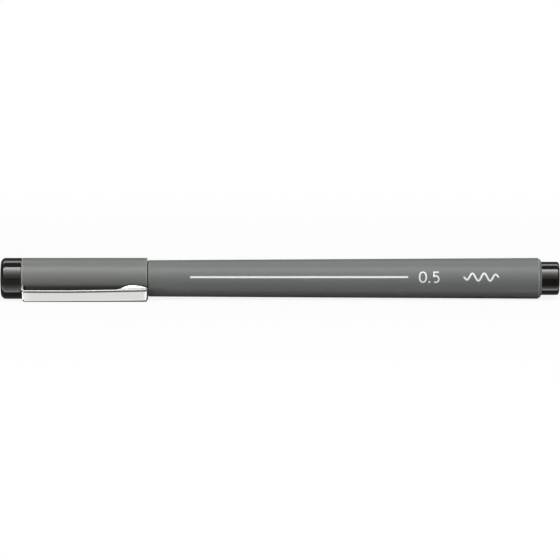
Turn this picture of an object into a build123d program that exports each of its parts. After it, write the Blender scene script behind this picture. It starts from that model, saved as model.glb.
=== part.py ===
from build123d import *
import math
import os

# A capped fineliner pen that lies on a desk, on its round body and one edge of its pocket clip.
# Each piece is drawn about the pen's own axis, X. There x is 0 at the closed end of the cap and grows
# towards the rear plug, and the clip stands up along +Z. At the end the whole pen is laid on the desk.
# Lengths are in millimetres and angles in degrees.

# Whole pen
overall_length = 142.0
cap_length = 37.2
cap_diameter = 10.4

# Fits and working values
cap_clearance = 0.06
press_clearance = 0.02
end_clearance = 0.1
cut_overrun = 1.0

# Cap sleeve
cap_wall = 0.95
cap_bore_step = 0.15
cap_rim_chamfer = 0.18
cap_seam_chamfer = 0.1
cap_mouth_lead = 0.3

# Cap end plug
cap_plug_head_length = 5.3
cap_plug_spigot_length = 7.5
cap_plug_end_wall = 1.5
cap_plug_edge_round = 1.4
cap_plug_core_step = 0.5

# Inner cap that closes over the nib
inner_cap_wall = 0.6
inner_cap_floor = 0.7
inner_cap_seat_depth = 0.8
lip_bevel_share = 0.5
nib_tip_gap = 2.3

# Pocket clip, bent from spring steel strip
clip_width = 3.35
clip_thickness = 0.55
clip_height = 2.85
clip_bend_radius = 0.4
clip_edge_round = 0.22
clip_tip_round = 0.5
clip_tip_corner = 0.65
clip_tip_overhang = 0.2
clip_toe_length = 1.6
clip_toe_width = 2.0
clip_slot_gap = 0.1
clip_swing_gap = 0.2
ear_flank_length = 6.5
ear_crest_setback = 4.1
ear_end_depth = 1.45
ear_gap = 0.06
ear_foot_share = 0.65
ear_crest_share = 0.68
ear_fall_share = 0.5

# Grip section, which carries the nib and takes the cap
collar_length = 6.0
bead_width = 0.8
bead_height = 0.14
bead_end_margin = 0.7
grip_step = 0.25
cone_length = 5.8
nose_length = 1.3
nose_back_diameter = 3.0
nose_front_diameter = 2.3
section_spigot_length = 9.0
vent_width = 0.7
vent_depth = 0.35

# Nib, its steel sleeve and the wick that feeds it
nib_point_diameter = 0.5
nib_point_length = 0.9
nib_rod_diameter = 0.84
nib_sleeve_wall = 0.2
nib_sleeve_projection = 4.3
nib_sleeve_crimp_length = 1.3
nib_sleeve_seat_length = 3.0
wick_diameter = 1.8
wick_entry = 5.0

# Barrel
cap_seat_gap = 0.1
shoulder_height = 0.43
shoulder_chamfer = 0.2
barrel_front_wall = 1.0
barrel_rear_wall = 0.985
barrel_rear_rim = 0.06
barrel_chamfer_length = 0.78
rib_count = 4
rib_width = 0.8
rib_root_share = 0.5

# Ink reservoir and its film
rib_height = 0.42
film_thickness = 0.12
rib_clearance = 0.06

# Rear plug, on which the cap is also posted
rear_plug_head_length = 4.72
rear_plug_spigot_length = 8.0
rear_plug_end_wall = 1.4
rear_plug_core_diameter = 4.6
rear_plug_edge_round = 0.9
rear_plug_lead = 0.3
rear_plug_shoulder = 0.2

# Radii that follow from those sizes
cap_radius = cap_diameter / 2
cap_bore_radius = cap_radius - cap_wall
cap_rear_bore_radius = cap_bore_radius + cap_bore_step
collar_radius = cap_bore_radius - cap_clearance
collar_root_radius = collar_radius - bead_height
grip_radius = collar_root_radius - grip_step
nose_back_radius = nose_back_diameter / 2
nose_front_radius = nose_front_diameter / 2
cap_spigot_radius = cap_rear_bore_radius - press_clearance
inner_cap_bore_radius = (nose_back_radius + grip_radius) / 2
inner_cap_radius = inner_cap_bore_radius + inner_cap_wall
post_radius = collar_radius
barrel_front_radius = collar_radius + shoulder_height
barrel_rear_radius = post_radius + barrel_rear_wall
barrel_bore_radius = barrel_front_radius - barrel_front_wall
rear_spigot_radius = post_radius - rear_plug_shoulder
barrel_plug_bore_radius = rear_spigot_radius + press_clearance
rib_tip_radius = barrel_bore_radius - rib_height
film_radius = rib_tip_radius - rib_clearance
film_bore_radius = film_radius - film_thickness
reservoir_radius = film_bore_radius - press_clearance
nib_point_radius = nib_point_diameter / 2
nib_rod_radius = nib_rod_diameter / 2
nib_sleeve_bore_radius = nib_rod_radius + press_clearance
nib_sleeve_mouth_radius = nib_point_radius + press_clearance
nib_sleeve_radius = nib_sleeve_bore_radius + nib_sleeve_wall
nib_sleeve_tip_radius = nib_sleeve_mouth_radius + nib_sleeve_wall
wick_radius = wick_diameter / 2

# Stations along the axis that follow from those sizes
inner_cap_seat_x = cap_plug_head_length + inner_cap_seat_depth
nib_tip_x = inner_cap_seat_x + inner_cap_floor + nib_tip_gap
nib_sleeve_tip_x = nib_tip_x + nib_point_length
nose_x = nib_sleeve_tip_x + nib_sleeve_projection
cone_x = nose_x + nose_length
grip_x = cone_x + cone_length
seal_x = (cone_x + grip_x) / 2
shoulder_x = cap_length + cap_seat_gap
collar_x = shoulder_x - collar_length
nib_sleeve_back_x = nose_x + nib_sleeve_seat_length
spigot_back_x = shoulder_x + section_spigot_length
barrel_end_x = overall_length - rear_plug_head_length
barrel_chamfer_x = barrel_end_x - barrel_chamfer_length
rear_spigot_x = barrel_end_x - rear_plug_spigot_length
reservoir_x = spigot_back_x + end_clearance
reservoir_end_x = rear_spigot_x - end_clearance

# Places on the clip. Heights are measured out from the pen's axis.
clip_face_height = cap_radius + clip_height
clip_under_height = clip_face_height - clip_thickness
clip_half_width = clip_width / 2
clip_leg_x = cap_plug_head_length + clip_slot_gap
clip_leg_back_x = clip_leg_x + clip_thickness
clip_tip_x = cap_length + clip_tip_overhang
clip_slot_back_x = clip_leg_back_x + clip_swing_gap
clip_toe_half_width = clip_toe_width / 2
clip_toe_height = math.sqrt(cap_rear_bore_radius**2 - clip_toe_half_width**2) - clip_swing_gap
clip_toe_under_height = clip_toe_height - clip_thickness
clip_toe_x = clip_leg_x + clip_thickness + clip_toe_length
ear_inner_half_width = clip_half_width - clip_thickness
ear_contact_height = math.sqrt(cap_radius**2 - ear_inner_half_width**2) + ear_gap


def turned(outline):
    """A solid of revolution about the pen's axis. The outline holds (x, radius) points and curves."""
    return revolve(make_face(outline), Axis.X)


def tube(start_x, end_x, outer_radius, inner_radius):
    """A plain tube about the pen's axis."""
    outline = Polyline(
        (start_x, inner_radius),
        (start_x, outer_radius),
        (end_x, outer_radius),
        (end_x, inner_radius),
        close=True,
    )
    return turned(outline)


def rounded_edge(end_x, base_x, radius):
    """The quarter circle from a flat end out to the round side of a turned piece."""
    return TangentArc((end_x, radius - abs(base_x - end_x)), (base_x, radius), tangent=(0, 1))


def block(low, high):
    """A box between two opposite corners."""
    size = [b - a for a, b in zip(low, high)]
    middle = [(a + b) / 2 for a, b in zip(low, high)]
    return Pos(*middle) * Box(*size)


def clip_way(start_x, end_x, half_width, floor_height):
    """The room that a length of the clip's root needs in a piece that it passes, open to the outside."""
    side = half_width + clip_slot_gap
    return block(
        (start_x, -side, floor_height),
        (end_x, side, cap_radius + cut_overrun),
    )


def make_cap_sleeve():
    """The outer tube of the cap, with a wider bore for the end plug and a notch for the clip."""
    step_x = cap_plug_head_length + cap_plug_spigot_length
    sleeve = turned(
        Polyline(
            (cap_plug_head_length, cap_rear_bore_radius),
            (cap_plug_head_length, cap_radius - cap_seam_chamfer),
            (cap_plug_head_length + cap_seam_chamfer, cap_radius),
            (cap_length - cap_rim_chamfer, cap_radius),
            (cap_length, cap_radius - cap_rim_chamfer),
            (cap_length, cap_bore_radius + cap_mouth_lead),
            (cap_length - cap_mouth_lead, cap_bore_radius),
            (step_x, cap_bore_radius),
            (step_x, cap_rear_bore_radius),
            close=True,
        )
    )
    notch_start_x = cap_plug_head_length - cut_overrun
    return sleeve - clip_way(notch_start_x, clip_slot_back_x, clip_half_width, 0)


def make_cap_end_plug():
    """The rounded plug that closes the cap. Its hollow spigot holds the inner cap and traps the clip's toe."""
    spigot_end_x = cap_plug_head_length + cap_plug_spigot_length - end_clearance
    bore_radius = inner_cap_radius + press_clearance
    core_radius = inner_cap_radius - cap_plug_core_step
    edge = rounded_edge(0, cap_plug_edge_round, cap_radius)
    body = Polyline(
        (cap_plug_edge_round, cap_radius),
        (cap_plug_head_length, cap_radius),
        (cap_plug_head_length, cap_spigot_radius),
        (spigot_end_x, cap_spigot_radius),
        (spigot_end_x, bore_radius),
        (inner_cap_seat_x, bore_radius),
        (inner_cap_seat_x, core_radius),
        (cap_plug_end_wall, core_radius),
        (cap_plug_end_wall, 0),
        (0, 0),
        (0, cap_radius - cap_plug_edge_round),
    )
    plug = turned(edge + body)
    pocket_floor = clip_toe_under_height - clip_slot_gap
    pocket_end_x = clip_toe_x + clip_swing_gap
    return plug - clip_way(cap_plug_head_length, pocket_end_x, clip_toe_half_width, pocket_floor)


def make_inner_cap():
    """The sealing cup inside the cap. Its lip is bevelled to the cone that it closes on."""
    cone_slope = (grip_radius - nose_back_radius) / cone_length
    lip_bevel = inner_cap_wall * lip_bevel_share
    lip_x = seal_x - cap_clearance / cone_slope
    return turned(
        Polyline(
            (inner_cap_seat_x, 0),
            (inner_cap_seat_x, inner_cap_radius),
            (lip_x + lip_bevel / cone_slope, inner_cap_radius),
            (lip_x + lip_bevel / cone_slope, inner_cap_bore_radius + lip_bevel),
            (lip_x, inner_cap_bore_radius),
            (inner_cap_seat_x + inner_cap_floor, inner_cap_bore_radius),
            (inner_cap_seat_x + inner_cap_floor, 0),
            close=True,
        )
    )


def clip_side_outline():
    """The clip seen from its side: toe, leg, bend, arm and the swelling of its two ears."""
    bend_outer = clip_bend_radius + clip_thickness
    crest_x = clip_tip_x - ear_crest_setback
    foot_x = crest_x - ear_flank_length
    ear_end_height = clip_face_height - ear_end_depth
    outer = FilletPolyline(
        (clip_toe_x, clip_toe_under_height),
        (clip_leg_x, clip_toe_under_height),
        (clip_leg_x, clip_face_height),
        (clip_tip_x - clip_tip_round, clip_face_height),
        radius=bend_outer,
    )
    turn_down = TangentArc(
        (clip_tip_x - clip_tip_round, clip_face_height),
        (clip_tip_x, clip_face_height - clip_tip_round),
        tangent=(1, 0),
    )
    tip = Line((clip_tip_x, clip_face_height - clip_tip_round), (clip_tip_x, ear_end_height))
    fall = Bezier(
        (clip_tip_x, ear_end_height),
        (crest_x + ear_crest_setback * ear_fall_share, ear_contact_height),
        (crest_x, ear_contact_height),
    )
    flank = Bezier(
        (crest_x, ear_contact_height),
        (foot_x + ear_flank_length * ear_crest_share, ear_contact_height),
        (foot_x + ear_flank_length * ear_foot_share, clip_under_height),
        (foot_x, clip_under_height),
    )
    inner = FilletPolyline(
        (foot_x, clip_under_height),
        (clip_leg_back_x, clip_under_height),
        (clip_leg_back_x, clip_toe_height),
        (clip_toe_x, clip_toe_height),
        radius=clip_bend_radius,
    )
    toe_end = Line((clip_toe_x, clip_toe_height), (clip_toe_x, clip_toe_under_height))
    return outer + turn_down + tip + fall + flank + inner + toe_end


def make_pocket_clip():
    """The strip of the clip with its ears folded down, which touch the cap on both sides of its crown."""
    side = extrude(Plane.XZ * make_face(clip_side_outline()), clip_half_width, both=True)
    root_x = clip_leg_x - cut_overrun
    blank = block(
        (root_x, -clip_half_width, 0),
        (clip_tip_x, clip_half_width, clip_face_height),
    )
    blank = fillet(blank.edges().filter_by(Axis.Z).group_by(Axis.X)[-1], clip_tip_corner)
    blank = fillet(blank.edges().filter_by(Axis.X).group_by(Axis.Z)[-1], clip_edge_round)
    strip = side & blank
    strip -= block(
        (clip_leg_back_x + clip_bend_radius, -ear_inner_half_width, cap_rear_bore_radius),
        (clip_tip_x - clip_thickness, ear_inner_half_width, clip_under_height),
    )
    leg_foot_height = (cap_rear_bore_radius + cap_radius) / 2
    for side_y in (clip_toe_half_width, -clip_half_width):
        strip -= block(
            (root_x, side_y, 0),
            (clip_toe_x, side_y + clip_half_width - clip_toe_half_width, leg_foot_height),
        )
    return strip


def make_grip_section():
    """The black front section: collar with two beads, grip, cone, nose and a spigot for the barrel."""
    spigot_radius = barrel_bore_radius - press_clearance
    wick_bore_radius = wick_radius + press_clearance
    sleeve_bore_radius = nib_sleeve_radius + press_clearance
    section = turned(
        Polyline(
            (nose_x, sleeve_bore_radius),
            (nose_x, nose_front_radius),
            (cone_x, nose_back_radius),
            (grip_x, grip_radius),
            (collar_x, grip_radius),
            (collar_x, collar_root_radius),
            (shoulder_x, collar_root_radius),
            (shoulder_x, spigot_radius),
            (spigot_back_x, spigot_radius),
            (spigot_back_x, wick_bore_radius),
            (nib_sleeve_back_x, wick_bore_radius),
            (nib_sleeve_back_x, sleeve_bore_radius),
            close=True,
        )
    )
    for bead_x in (collar_x + bead_end_margin, shoulder_x - bead_end_margin - bead_width):
        section += tube(bead_x, bead_x + bead_width, collar_radius, wick_bore_radius)
    vent = block(
        (shoulder_x, -vent_width / 2, spigot_radius - vent_depth),
        (spigot_back_x + cut_overrun, vent_width / 2, spigot_radius + cut_overrun),
    )
    return section - vent


def make_nib_sleeve():
    """The steel sleeve round the nib, crimped to the point at its front."""
    crimp_x = nib_sleeve_tip_x + nib_sleeve_crimp_length
    return turned(
        Polyline(
            (nib_sleeve_tip_x, nib_sleeve_mouth_radius),
            (nib_sleeve_tip_x, nib_sleeve_tip_radius),
            (crimp_x, nib_sleeve_radius),
            (nib_sleeve_back_x, nib_sleeve_radius),
            (nib_sleeve_back_x, nib_sleeve_bore_radius),
            (crimp_x, nib_sleeve_bore_radius),
            close=True,
        )
    )


def make_nib():
    """The nib: a rounded writing point on a rod that runs back through the sleeve to the wick."""
    crimp_x = nib_sleeve_tip_x + nib_sleeve_crimp_length
    point_x = nib_tip_x + nib_point_radius
    point = rounded_edge(nib_tip_x, point_x, nib_point_radius)
    rod = Polyline(
        (point_x, nib_point_radius),
        (nib_sleeve_tip_x, nib_point_radius),
        (crimp_x, nib_rod_radius),
        (nib_sleeve_back_x, nib_rod_radius),
        (nib_sleeve_back_x, 0),
        (nib_tip_x, 0),
    )
    return turned(point + rod)


def make_feed_wick():
    """The fibre wick that carries ink from the reservoir to the back of the nib."""
    return tube(nib_sleeve_back_x, reservoir_x + wick_entry, wick_radius, 0)


def make_barrel():
    """The tapered barrel, open at both ends, with ribs along its bore that centre the reservoir."""
    barrel = turned(
        Polyline(
            (shoulder_x, barrel_bore_radius),
            (shoulder_x, barrel_front_radius - shoulder_chamfer),
            (shoulder_x + shoulder_chamfer, barrel_front_radius),
            (barrel_chamfer_x, barrel_rear_radius),
            (barrel_end_x, post_radius + barrel_rear_rim),
            (barrel_end_x, barrel_plug_bore_radius),
            (rear_spigot_x, barrel_plug_bore_radius),
            (rear_spigot_x, barrel_bore_radius),
            close=True,
        )
    )
    rib = block(
        (reservoir_x, -rib_width / 2, rib_tip_radius),
        (rear_spigot_x, rib_width / 2, barrel_bore_radius + barrel_front_wall * rib_root_share),
    )
    for i in range(rib_count):
        barrel += Rot(X=i * 360 / rib_count) * rib
    return barrel


def make_ink_reservoir():
    """The fibre rod that holds the ink, with a hole in its front for the wick."""
    hole_end_x = reservoir_x + wick_entry
    return turned(
        Polyline(
            (reservoir_x, wick_radius),
            (reservoir_x, reservoir_radius),
            (reservoir_end_x, reservoir_radius),
            (reservoir_end_x, 0),
            (hole_end_x, 0),
            (hole_end_x, wick_radius),
            close=True,
        )
    )


def make_reservoir_film():
    """The film wrapped round the reservoir."""
    return tube(reservoir_x, reservoir_end_x, film_radius, film_bore_radius)


def make_rear_plug():
    """The plug in the rear of the barrel. Its free length is the post for the cap."""
    core_radius = rear_plug_core_diameter / 2
    core_end_x = overall_length - rear_plug_end_wall
    edge_x = overall_length - rear_plug_edge_round
    edge = rounded_edge(overall_length, edge_x, post_radius)
    body = Polyline(
        (edge_x, post_radius),
        (barrel_end_x, post_radius),
        (barrel_end_x, rear_spigot_radius),
        (rear_spigot_x + rear_plug_lead, rear_spigot_radius),
        (rear_spigot_x, rear_spigot_radius - rear_plug_lead),
        (rear_spigot_x, core_radius),
        (core_end_x, core_radius),
        (core_end_x, 0),
        (overall_length, 0),
        (overall_length, post_radius - rear_plug_edge_round),
    )
    return turned(edge + body)


def resting_turn():
    """Angle of the clip below the horizontal when its lower edge and the cap both touch the desk."""
    edge_height = clip_face_height - clip_edge_round
    edge_side = clip_half_width - clip_edge_round
    reach = math.hypot(edge_height, edge_side)
    edge_angle = math.asin((cap_radius - clip_edge_round) / reach)
    return math.degrees(edge_angle - math.atan2(edge_side, edge_height))


def desk_place():
    """Lays the pen on the desk, with the middle of its footprint over the origin."""
    turn = math.radians(resting_turn())
    clip_reach = clip_face_height * math.cos(turn) + clip_half_width * math.sin(turn)
    side_shift = (clip_reach - cap_radius) / 2
    return Pos(-overall_length / 2, side_shift, cap_radius) * Rot(X=90 + resting_turn())


PIECES = {
    "cap_sleeve": make_cap_sleeve,
    "cap_end_plug": make_cap_end_plug,
    "inner_cap": make_inner_cap,
    "pocket_clip": make_pocket_clip,
    "grip_section": make_grip_section,
    "nib_sleeve": make_nib_sleeve,
    "nib": make_nib,
    "feed_wick": make_feed_wick,
    "barrel": make_barrel,
    "ink_reservoir": make_ink_reservoir,
    "reservoir_film": make_reservoir_film,
    "rear_plug": make_rear_plug,
}

os.makedirs("parts", exist_ok=True)
for node, make in PIECES.items():
    export_step(desk_place() * make(), f"parts/{node}.step")
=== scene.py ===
"""A capped fineliner pen that lies on a pale desk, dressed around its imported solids.

Every new surface is worked out in pen coordinates, in millimetres: x runs along the axis from the closed
end of the cap to the rear plug, y goes across, and z points out towards the pocket clip.
"""

import logging
import math
from abc import ABC, abstractmethod
from collections.abc import Sequence
from dataclasses import dataclass, field
from enum import Enum

import bmesh
import bpy
import numpy as np
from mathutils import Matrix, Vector
from numpy.typing import NDArray


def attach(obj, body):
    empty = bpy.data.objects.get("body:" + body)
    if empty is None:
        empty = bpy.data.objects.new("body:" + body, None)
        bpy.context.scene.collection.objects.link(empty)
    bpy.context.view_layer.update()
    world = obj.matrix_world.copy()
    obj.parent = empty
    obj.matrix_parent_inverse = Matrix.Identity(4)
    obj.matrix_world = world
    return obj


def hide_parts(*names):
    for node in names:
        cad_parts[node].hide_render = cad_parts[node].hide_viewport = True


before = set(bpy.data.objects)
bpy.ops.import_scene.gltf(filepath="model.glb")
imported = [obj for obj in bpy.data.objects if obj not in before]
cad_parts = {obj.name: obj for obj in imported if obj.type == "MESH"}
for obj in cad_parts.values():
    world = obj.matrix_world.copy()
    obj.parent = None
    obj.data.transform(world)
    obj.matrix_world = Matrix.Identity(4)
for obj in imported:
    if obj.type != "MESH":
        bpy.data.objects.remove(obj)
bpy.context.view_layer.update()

Array = NDArray[np.float64]
Span = tuple[float, float]
Triple = tuple[float, float, float]
Colour = Triple
Node = bpy.types.Node
Outputs = bpy.types.bpy_prop_collection
Piece = bpy.types.Object
Socket = bpy.types.NodeSocket
Value = float | Colour | Socket

LOG = logging.getLogger("fineliner")
MM = 0.001
IMAGE_SIDE = 560
WHITE = (1.0, 1.0, 1.0)
FLOAT, COLOUR = "NodeSocketFloat", "NodeSocketColor"
MERGE = 2e-7  # distance in metres below which points are one
CREASE = math.radians(32.0)  # angle between faces above which the shading breaks
WALL = 0.004  # half of the length in which the side of a flat drops, in millimetres
NOTCH_WALL = 0.05  # the same for a notch, in degrees
DOME_STEPS = 14
OVAL_POINTS = 96
FLOOR_POINTS = 9


class Body(Enum):
    """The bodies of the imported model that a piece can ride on."""

    PEN = "pen"
    CAP = "cap"
    CLIP = "clip"


class Slot(Enum):
    """The record's material slots that the new pieces take their finish from."""

    GREY = "grey_plastic"
    BLACK = "black_plastic"
    SECTION = "section_plastic"
    CLIP = "clip_steel"
    NIB_STEEL = "nib_steel"
    NIB = "nib_plastic"


def linear(red: int, green: int, blue: int) -> Colour:
    """Turns a display colour into linear light by the sRGB curve.

    Args:
        red: Red from 0 to 255.
        green: Green from 0 to 255.
        blue: Blue from 0 to 255.

    Returns:
        The colour in linear light.
    """
    share = np.array([red, green, blue]) / 255.0
    low, high = share / 12.92, ((share + 0.055) / 1.055) ** 2.4
    return tuple(float(v) for v in np.where(share <= 0.04045, low, high))


def unit(share: Array) -> Array:
    """Cuts values off below 0 and above 1."""
    return np.clip(share, 0.0, 1.0)


def eased(share: Array) -> Array:
    """Eases a share between 0 and 1: three times its square less twice its cube."""
    return unit(share) ** 2 * (3.0 - 2.0 * unit(share))


def linked(name: str, data: bpy.types.ID) -> Piece:
    """Makes an object and links it into the scene.

    Args:
        name: Its name.
        data: Its mesh, lamp or camera.

    Returns:
        The object.
    """
    made = bpy.data.objects.new(name, data)
    bpy.context.scene.collection.objects.link(made)
    return made


# Places and meshes


@dataclass(frozen=True)
class PenFrame:
    """How the pen's own axes lie on the desk, in millimetres."""

    half_length: float = 71.0  # half of the whole pen
    side_shift: float = 1.34345  # place of the axis across the desk
    axis_height: float = 5.2  # height of the axis over the desk
    clip_drop: float = 28.178  # angle of the clip below the horizontal, in degrees

    def place(self, points: Array) -> Array:
        """Turns pen coordinates about the axis by a right angle and the clip's drop, then moves them.

        Args:
            points: Pen coordinates in millimetres, three in the last axis.

        Returns:
            The same points in the row frame, in metres.
        """
        turn = math.radians(90.0 + self.clip_drop)
        x, y, z = np.moveaxis(points, -1, 0)
        across = self.side_shift + y * math.cos(turn) - z * math.sin(turn)
        up = self.axis_height + y * math.sin(turn) + z * math.cos(turn)
        return np.stack((x - self.half_length, across, up), axis=-1) * MM


PEN_FRAME = PenFrame()


def grid_faces(rows: int, columns: int, wrap_rows: bool, wrap_columns: bool) -> NDArray[np.int64]:
    """The four-cornered faces of a grid of points, each (i, j), (i+1, j), (i+1, j+1), (i, j+1).

    Args:
        rows: Number of rows of points.
        columns: Number of columns of points.
        wrap_rows: Whether the last row joins the first.
        wrap_columns: Whether the last column joins the first.

    Returns:
        Point numbers, four to a face.
    """
    index = np.arange(rows * columns).reshape(rows, columns)
    down = np.roll(index, -1, axis=0)
    quads = np.stack((index, down, np.roll(down, -1, axis=1), np.roll(index, -1, axis=1)), axis=-1)
    quads = quads if wrap_rows else quads[:-1]
    quads = quads if wrap_columns else quads[:, :-1]
    return quads.reshape(-1, 4)


def grid_piece(
    name: str, points: Array, wrap_rows: bool, wrap_columns: bool, marks: dict[str, Array] | None = None
) -> Piece:
    """Makes a closed piece from a grid of pen coordinates.

    Points that fall together at poles and seams are merged, and the faces are turned outwards by the sign
    of the enclosed volume.

    Args:
        name: The piece's name.
        points: Pen coordinates, rows by columns by three.
        wrap_rows: Whether the last row joins the first.
        wrap_columns: Whether the last column joins the first.
        marks: Values from 0 to 1 at each point that the finish reads, by name.

    Returns:
        The piece, linked into the scene.
    """
    rows, columns = points.shape[:2]
    mesh = bpy.data.meshes.new(name)
    faces = grid_faces(rows, columns, wrap_rows, wrap_columns)
    mesh.from_pydata(PEN_FRAME.place(points).reshape(-1, 3), [], faces)
    for label, values in (marks or {}).items():
        mark = mesh.attributes.new(label, "FLOAT", "POINT")
        spread = np.broadcast_to(values, (rows, columns))
        mark.data.foreach_set("value", spread.astype(np.float32).ravel())
    sheet = bmesh.new()
    sheet.from_mesh(mesh)
    bmesh.ops.remove_doubles(sheet, verts=sheet.verts, dist=MERGE)
    if sheet.calc_volume(signed=True) < 0.0:
        bmesh.ops.reverse_faces(sheet, faces=sheet.faces)
    sheet.to_mesh(mesh)
    sheet.free()
    mesh.shade_smooth()
    mesh.set_sharp_from_angle(angle=CREASE)
    return linked(name, mesh)


@dataclass(frozen=True)
class Corner:
    """A corner of a half section."""

    x: float  # place along the axis
    r: float  # distance from the axis
    rounding: float = 0.0  # radius of its rounding
    worn_and_lit: float | None = None  # edge mark for rubbed wear and painted highlight, or None for 1 where it is rounded and 0 where it isn't

    @property
    def mark(self) -> float:
        """The edge mark of the corner's points."""
        return float(self.rounding > 0.0) if self.worn_and_lit is None else self.worn_and_lit


class Outline:
    """A turned piece's half section: points along its corners' arcs and the straight runs between them.

    Attributes:
        x: Places along the axis.
        r: Distances from the axis.
        edge: The corners' edge marks on their arcs, and 0 on the runs.
    """

    ARC_STEPS = 7
    ROOM = 0.48  # the most of a run that one rounding takes, as a share
    SUPPORT = 0.07  # distance from a run's ends of the points that keep it straight
    LEAST_RUN = 5.0 * SUPPORT  # length above which a run gets them

    def __init__(self, corners: Sequence[Corner], closed: bool, stations: Sequence[float] = ()) -> None:
        """Rounds the corners and adds points to the runs.

        Args:
            corners: The corners in order.
            closed: Whether the last corner joins the first. An open outline starts and ends on the axis.
            stations: Places along the axis at which every run that passes gets a point.
        """
        arcs = [self._arc(corners, i, closed) for i in range(len(corners))]
        pieces: list[Array] = []
        marks: list[Array] = []
        for corner, arc, following in zip(corners, arcs, arcs[1:] + arcs[: int(closed)]):
            run = self._run(arc[-1], following[0], stations)
            pieces += [arc, run]
            marks += [np.full(len(arc), corner.mark), np.zeros(len(run))]
        if not closed:
            pieces.append(arcs[-1])
            marks.append(np.zeros(len(arcs[-1])))
        self.x, self.r = np.concatenate(pieces).T
        self.edge = np.concatenate(marks)

    def _arc(self, corners: Sequence[Corner], i: int, closed: bool) -> Array:
        """The arc that rounds one corner: its centre lies on the bisector and its ends lie on the runs.

        Args:
            corners: All corners.
            i: The corner's number.
            closed: Whether the last corner joins the first.

        Returns:
            The arc's points, or the corner itself where it isn't rounded.
        """
        place = np.array([[corner.x, corner.r] for corner in corners])
        here, rounding = place[i], corners[i].rounding
        if rounding <= 0.0 or (not closed and i in (0, len(corners) - 1)):
            return here[None, :]
        back, onward = place[i - 1] - here, place[(i + 1) % len(corners)] - here
        room = self.ROOM * min(np.linalg.norm(back), np.linalg.norm(onward))
        back, onward = back / np.linalg.norm(back), onward / np.linalg.norm(onward)
        half = math.acos(float(np.clip(back @ onward, -1.0, 1.0))) / 2.0
        reach = min(rounding / math.tan(half), room)
        radius = reach * math.tan(half)
        centre = here + (back + onward) / np.linalg.norm(back + onward) * radius / math.sin(half)
        first, last = here + back * reach - centre, here + onward * reach - centre
        sweep = math.atan2(first[0] * last[1] - first[1] * last[0], float(first @ last))
        turns = np.linspace(0.0, sweep, self.ARC_STEPS + 1)[:, None]
        return centre + first * np.cos(turns) + np.array([-first[1], first[0]]) * np.sin(turns)

    def _run(self, start: Array, end: Array, stations: Sequence[float]) -> Array:
        """Points inside a straight run: one close to each end, and one at every station that it passes.

        Args:
            start: The run's start.
            end: The run's end.
            stations: Places along the axis.

        Returns:
            The points.
        """
        length = float(np.linalg.norm(end - start))
        shares = []
        if length > self.LEAST_RUN:
            shares = [self.SUPPORT / length, 1.0 - self.SUPPORT / length]
        if abs(end[0] - start[0]) > 1e-9:
            shares += [(s - start[0]) / (end[0] - start[0]) for s in stations]
        kept = np.unique([s for s in shares if 0.0 < s < 1.0])
        return start + (end - start) * kept[:, None]


def domed_end(radius: float, dome: float, edge: float) -> list[Corner]:
    """Corners of a domed end from its middle to its side: part of a sphere, then an arc that meets the side.

    The sphere goes through the middle and through the corner at the dome's depth. The arc's centre lies on
    a line through the sphere's centre, so both share a tangent.

    Args:
        radius: Radius of the side.
        dome: Depth of the dome at the side.
        edge: Radius of the arc.

    Returns:
        The corners, with x measured in from the middle of the end.
    """
    sphere = (radius**2 + dome**2) / (2.0 * dome)
    lean = math.asin((radius - edge) / (sphere - edge))
    middle = sphere - (sphere - edge) * math.cos(lean)
    cap = np.linspace(0.0, lean, DOME_STEPS)[:-1]
    arc = np.linspace(lean, math.pi / 2.0, DOME_STEPS)
    x = np.concatenate((sphere * (1.0 - np.cos(cap)), middle - edge * np.cos(arc)))
    r = np.concatenate((sphere * np.sin(cap), radius - edge + edge * np.sin(arc)))
    along_arc = (arc - lean) / (math.pi / 2.0 - lean)
    worn_and_lit = np.concatenate((np.zeros_like(cap), np.sin(along_arc * math.pi / 2.0)))
    return [Corner(*map(float, point)) for point in zip(x, r, np.zeros_like(x), worn_and_lit)]


@dataclass(frozen=True)
class Flat:
    """A flat along one side of a turned surface, such as the floor of a pocket or the top of a rib."""

    start: float  # where it starts along the axis
    end: float  # where it ends along the axis
    half_width: float
    height: float  # its distance from the axis
    reach: float  # radius of the surface that it is cut into; larger radii are left alone
    turn: float = 0.0  # its direction round the axis, in degrees from the clip's


@dataclass(frozen=True)
class Notch:
    """An open notch in the end of a tube: the tube's first length is pressed back over an angle."""

    start: float  # the tube's end
    run: float  # length over which the tube's points close up
    depth: float
    half_angle: float  # half of its angle round the axis, in degrees


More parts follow.
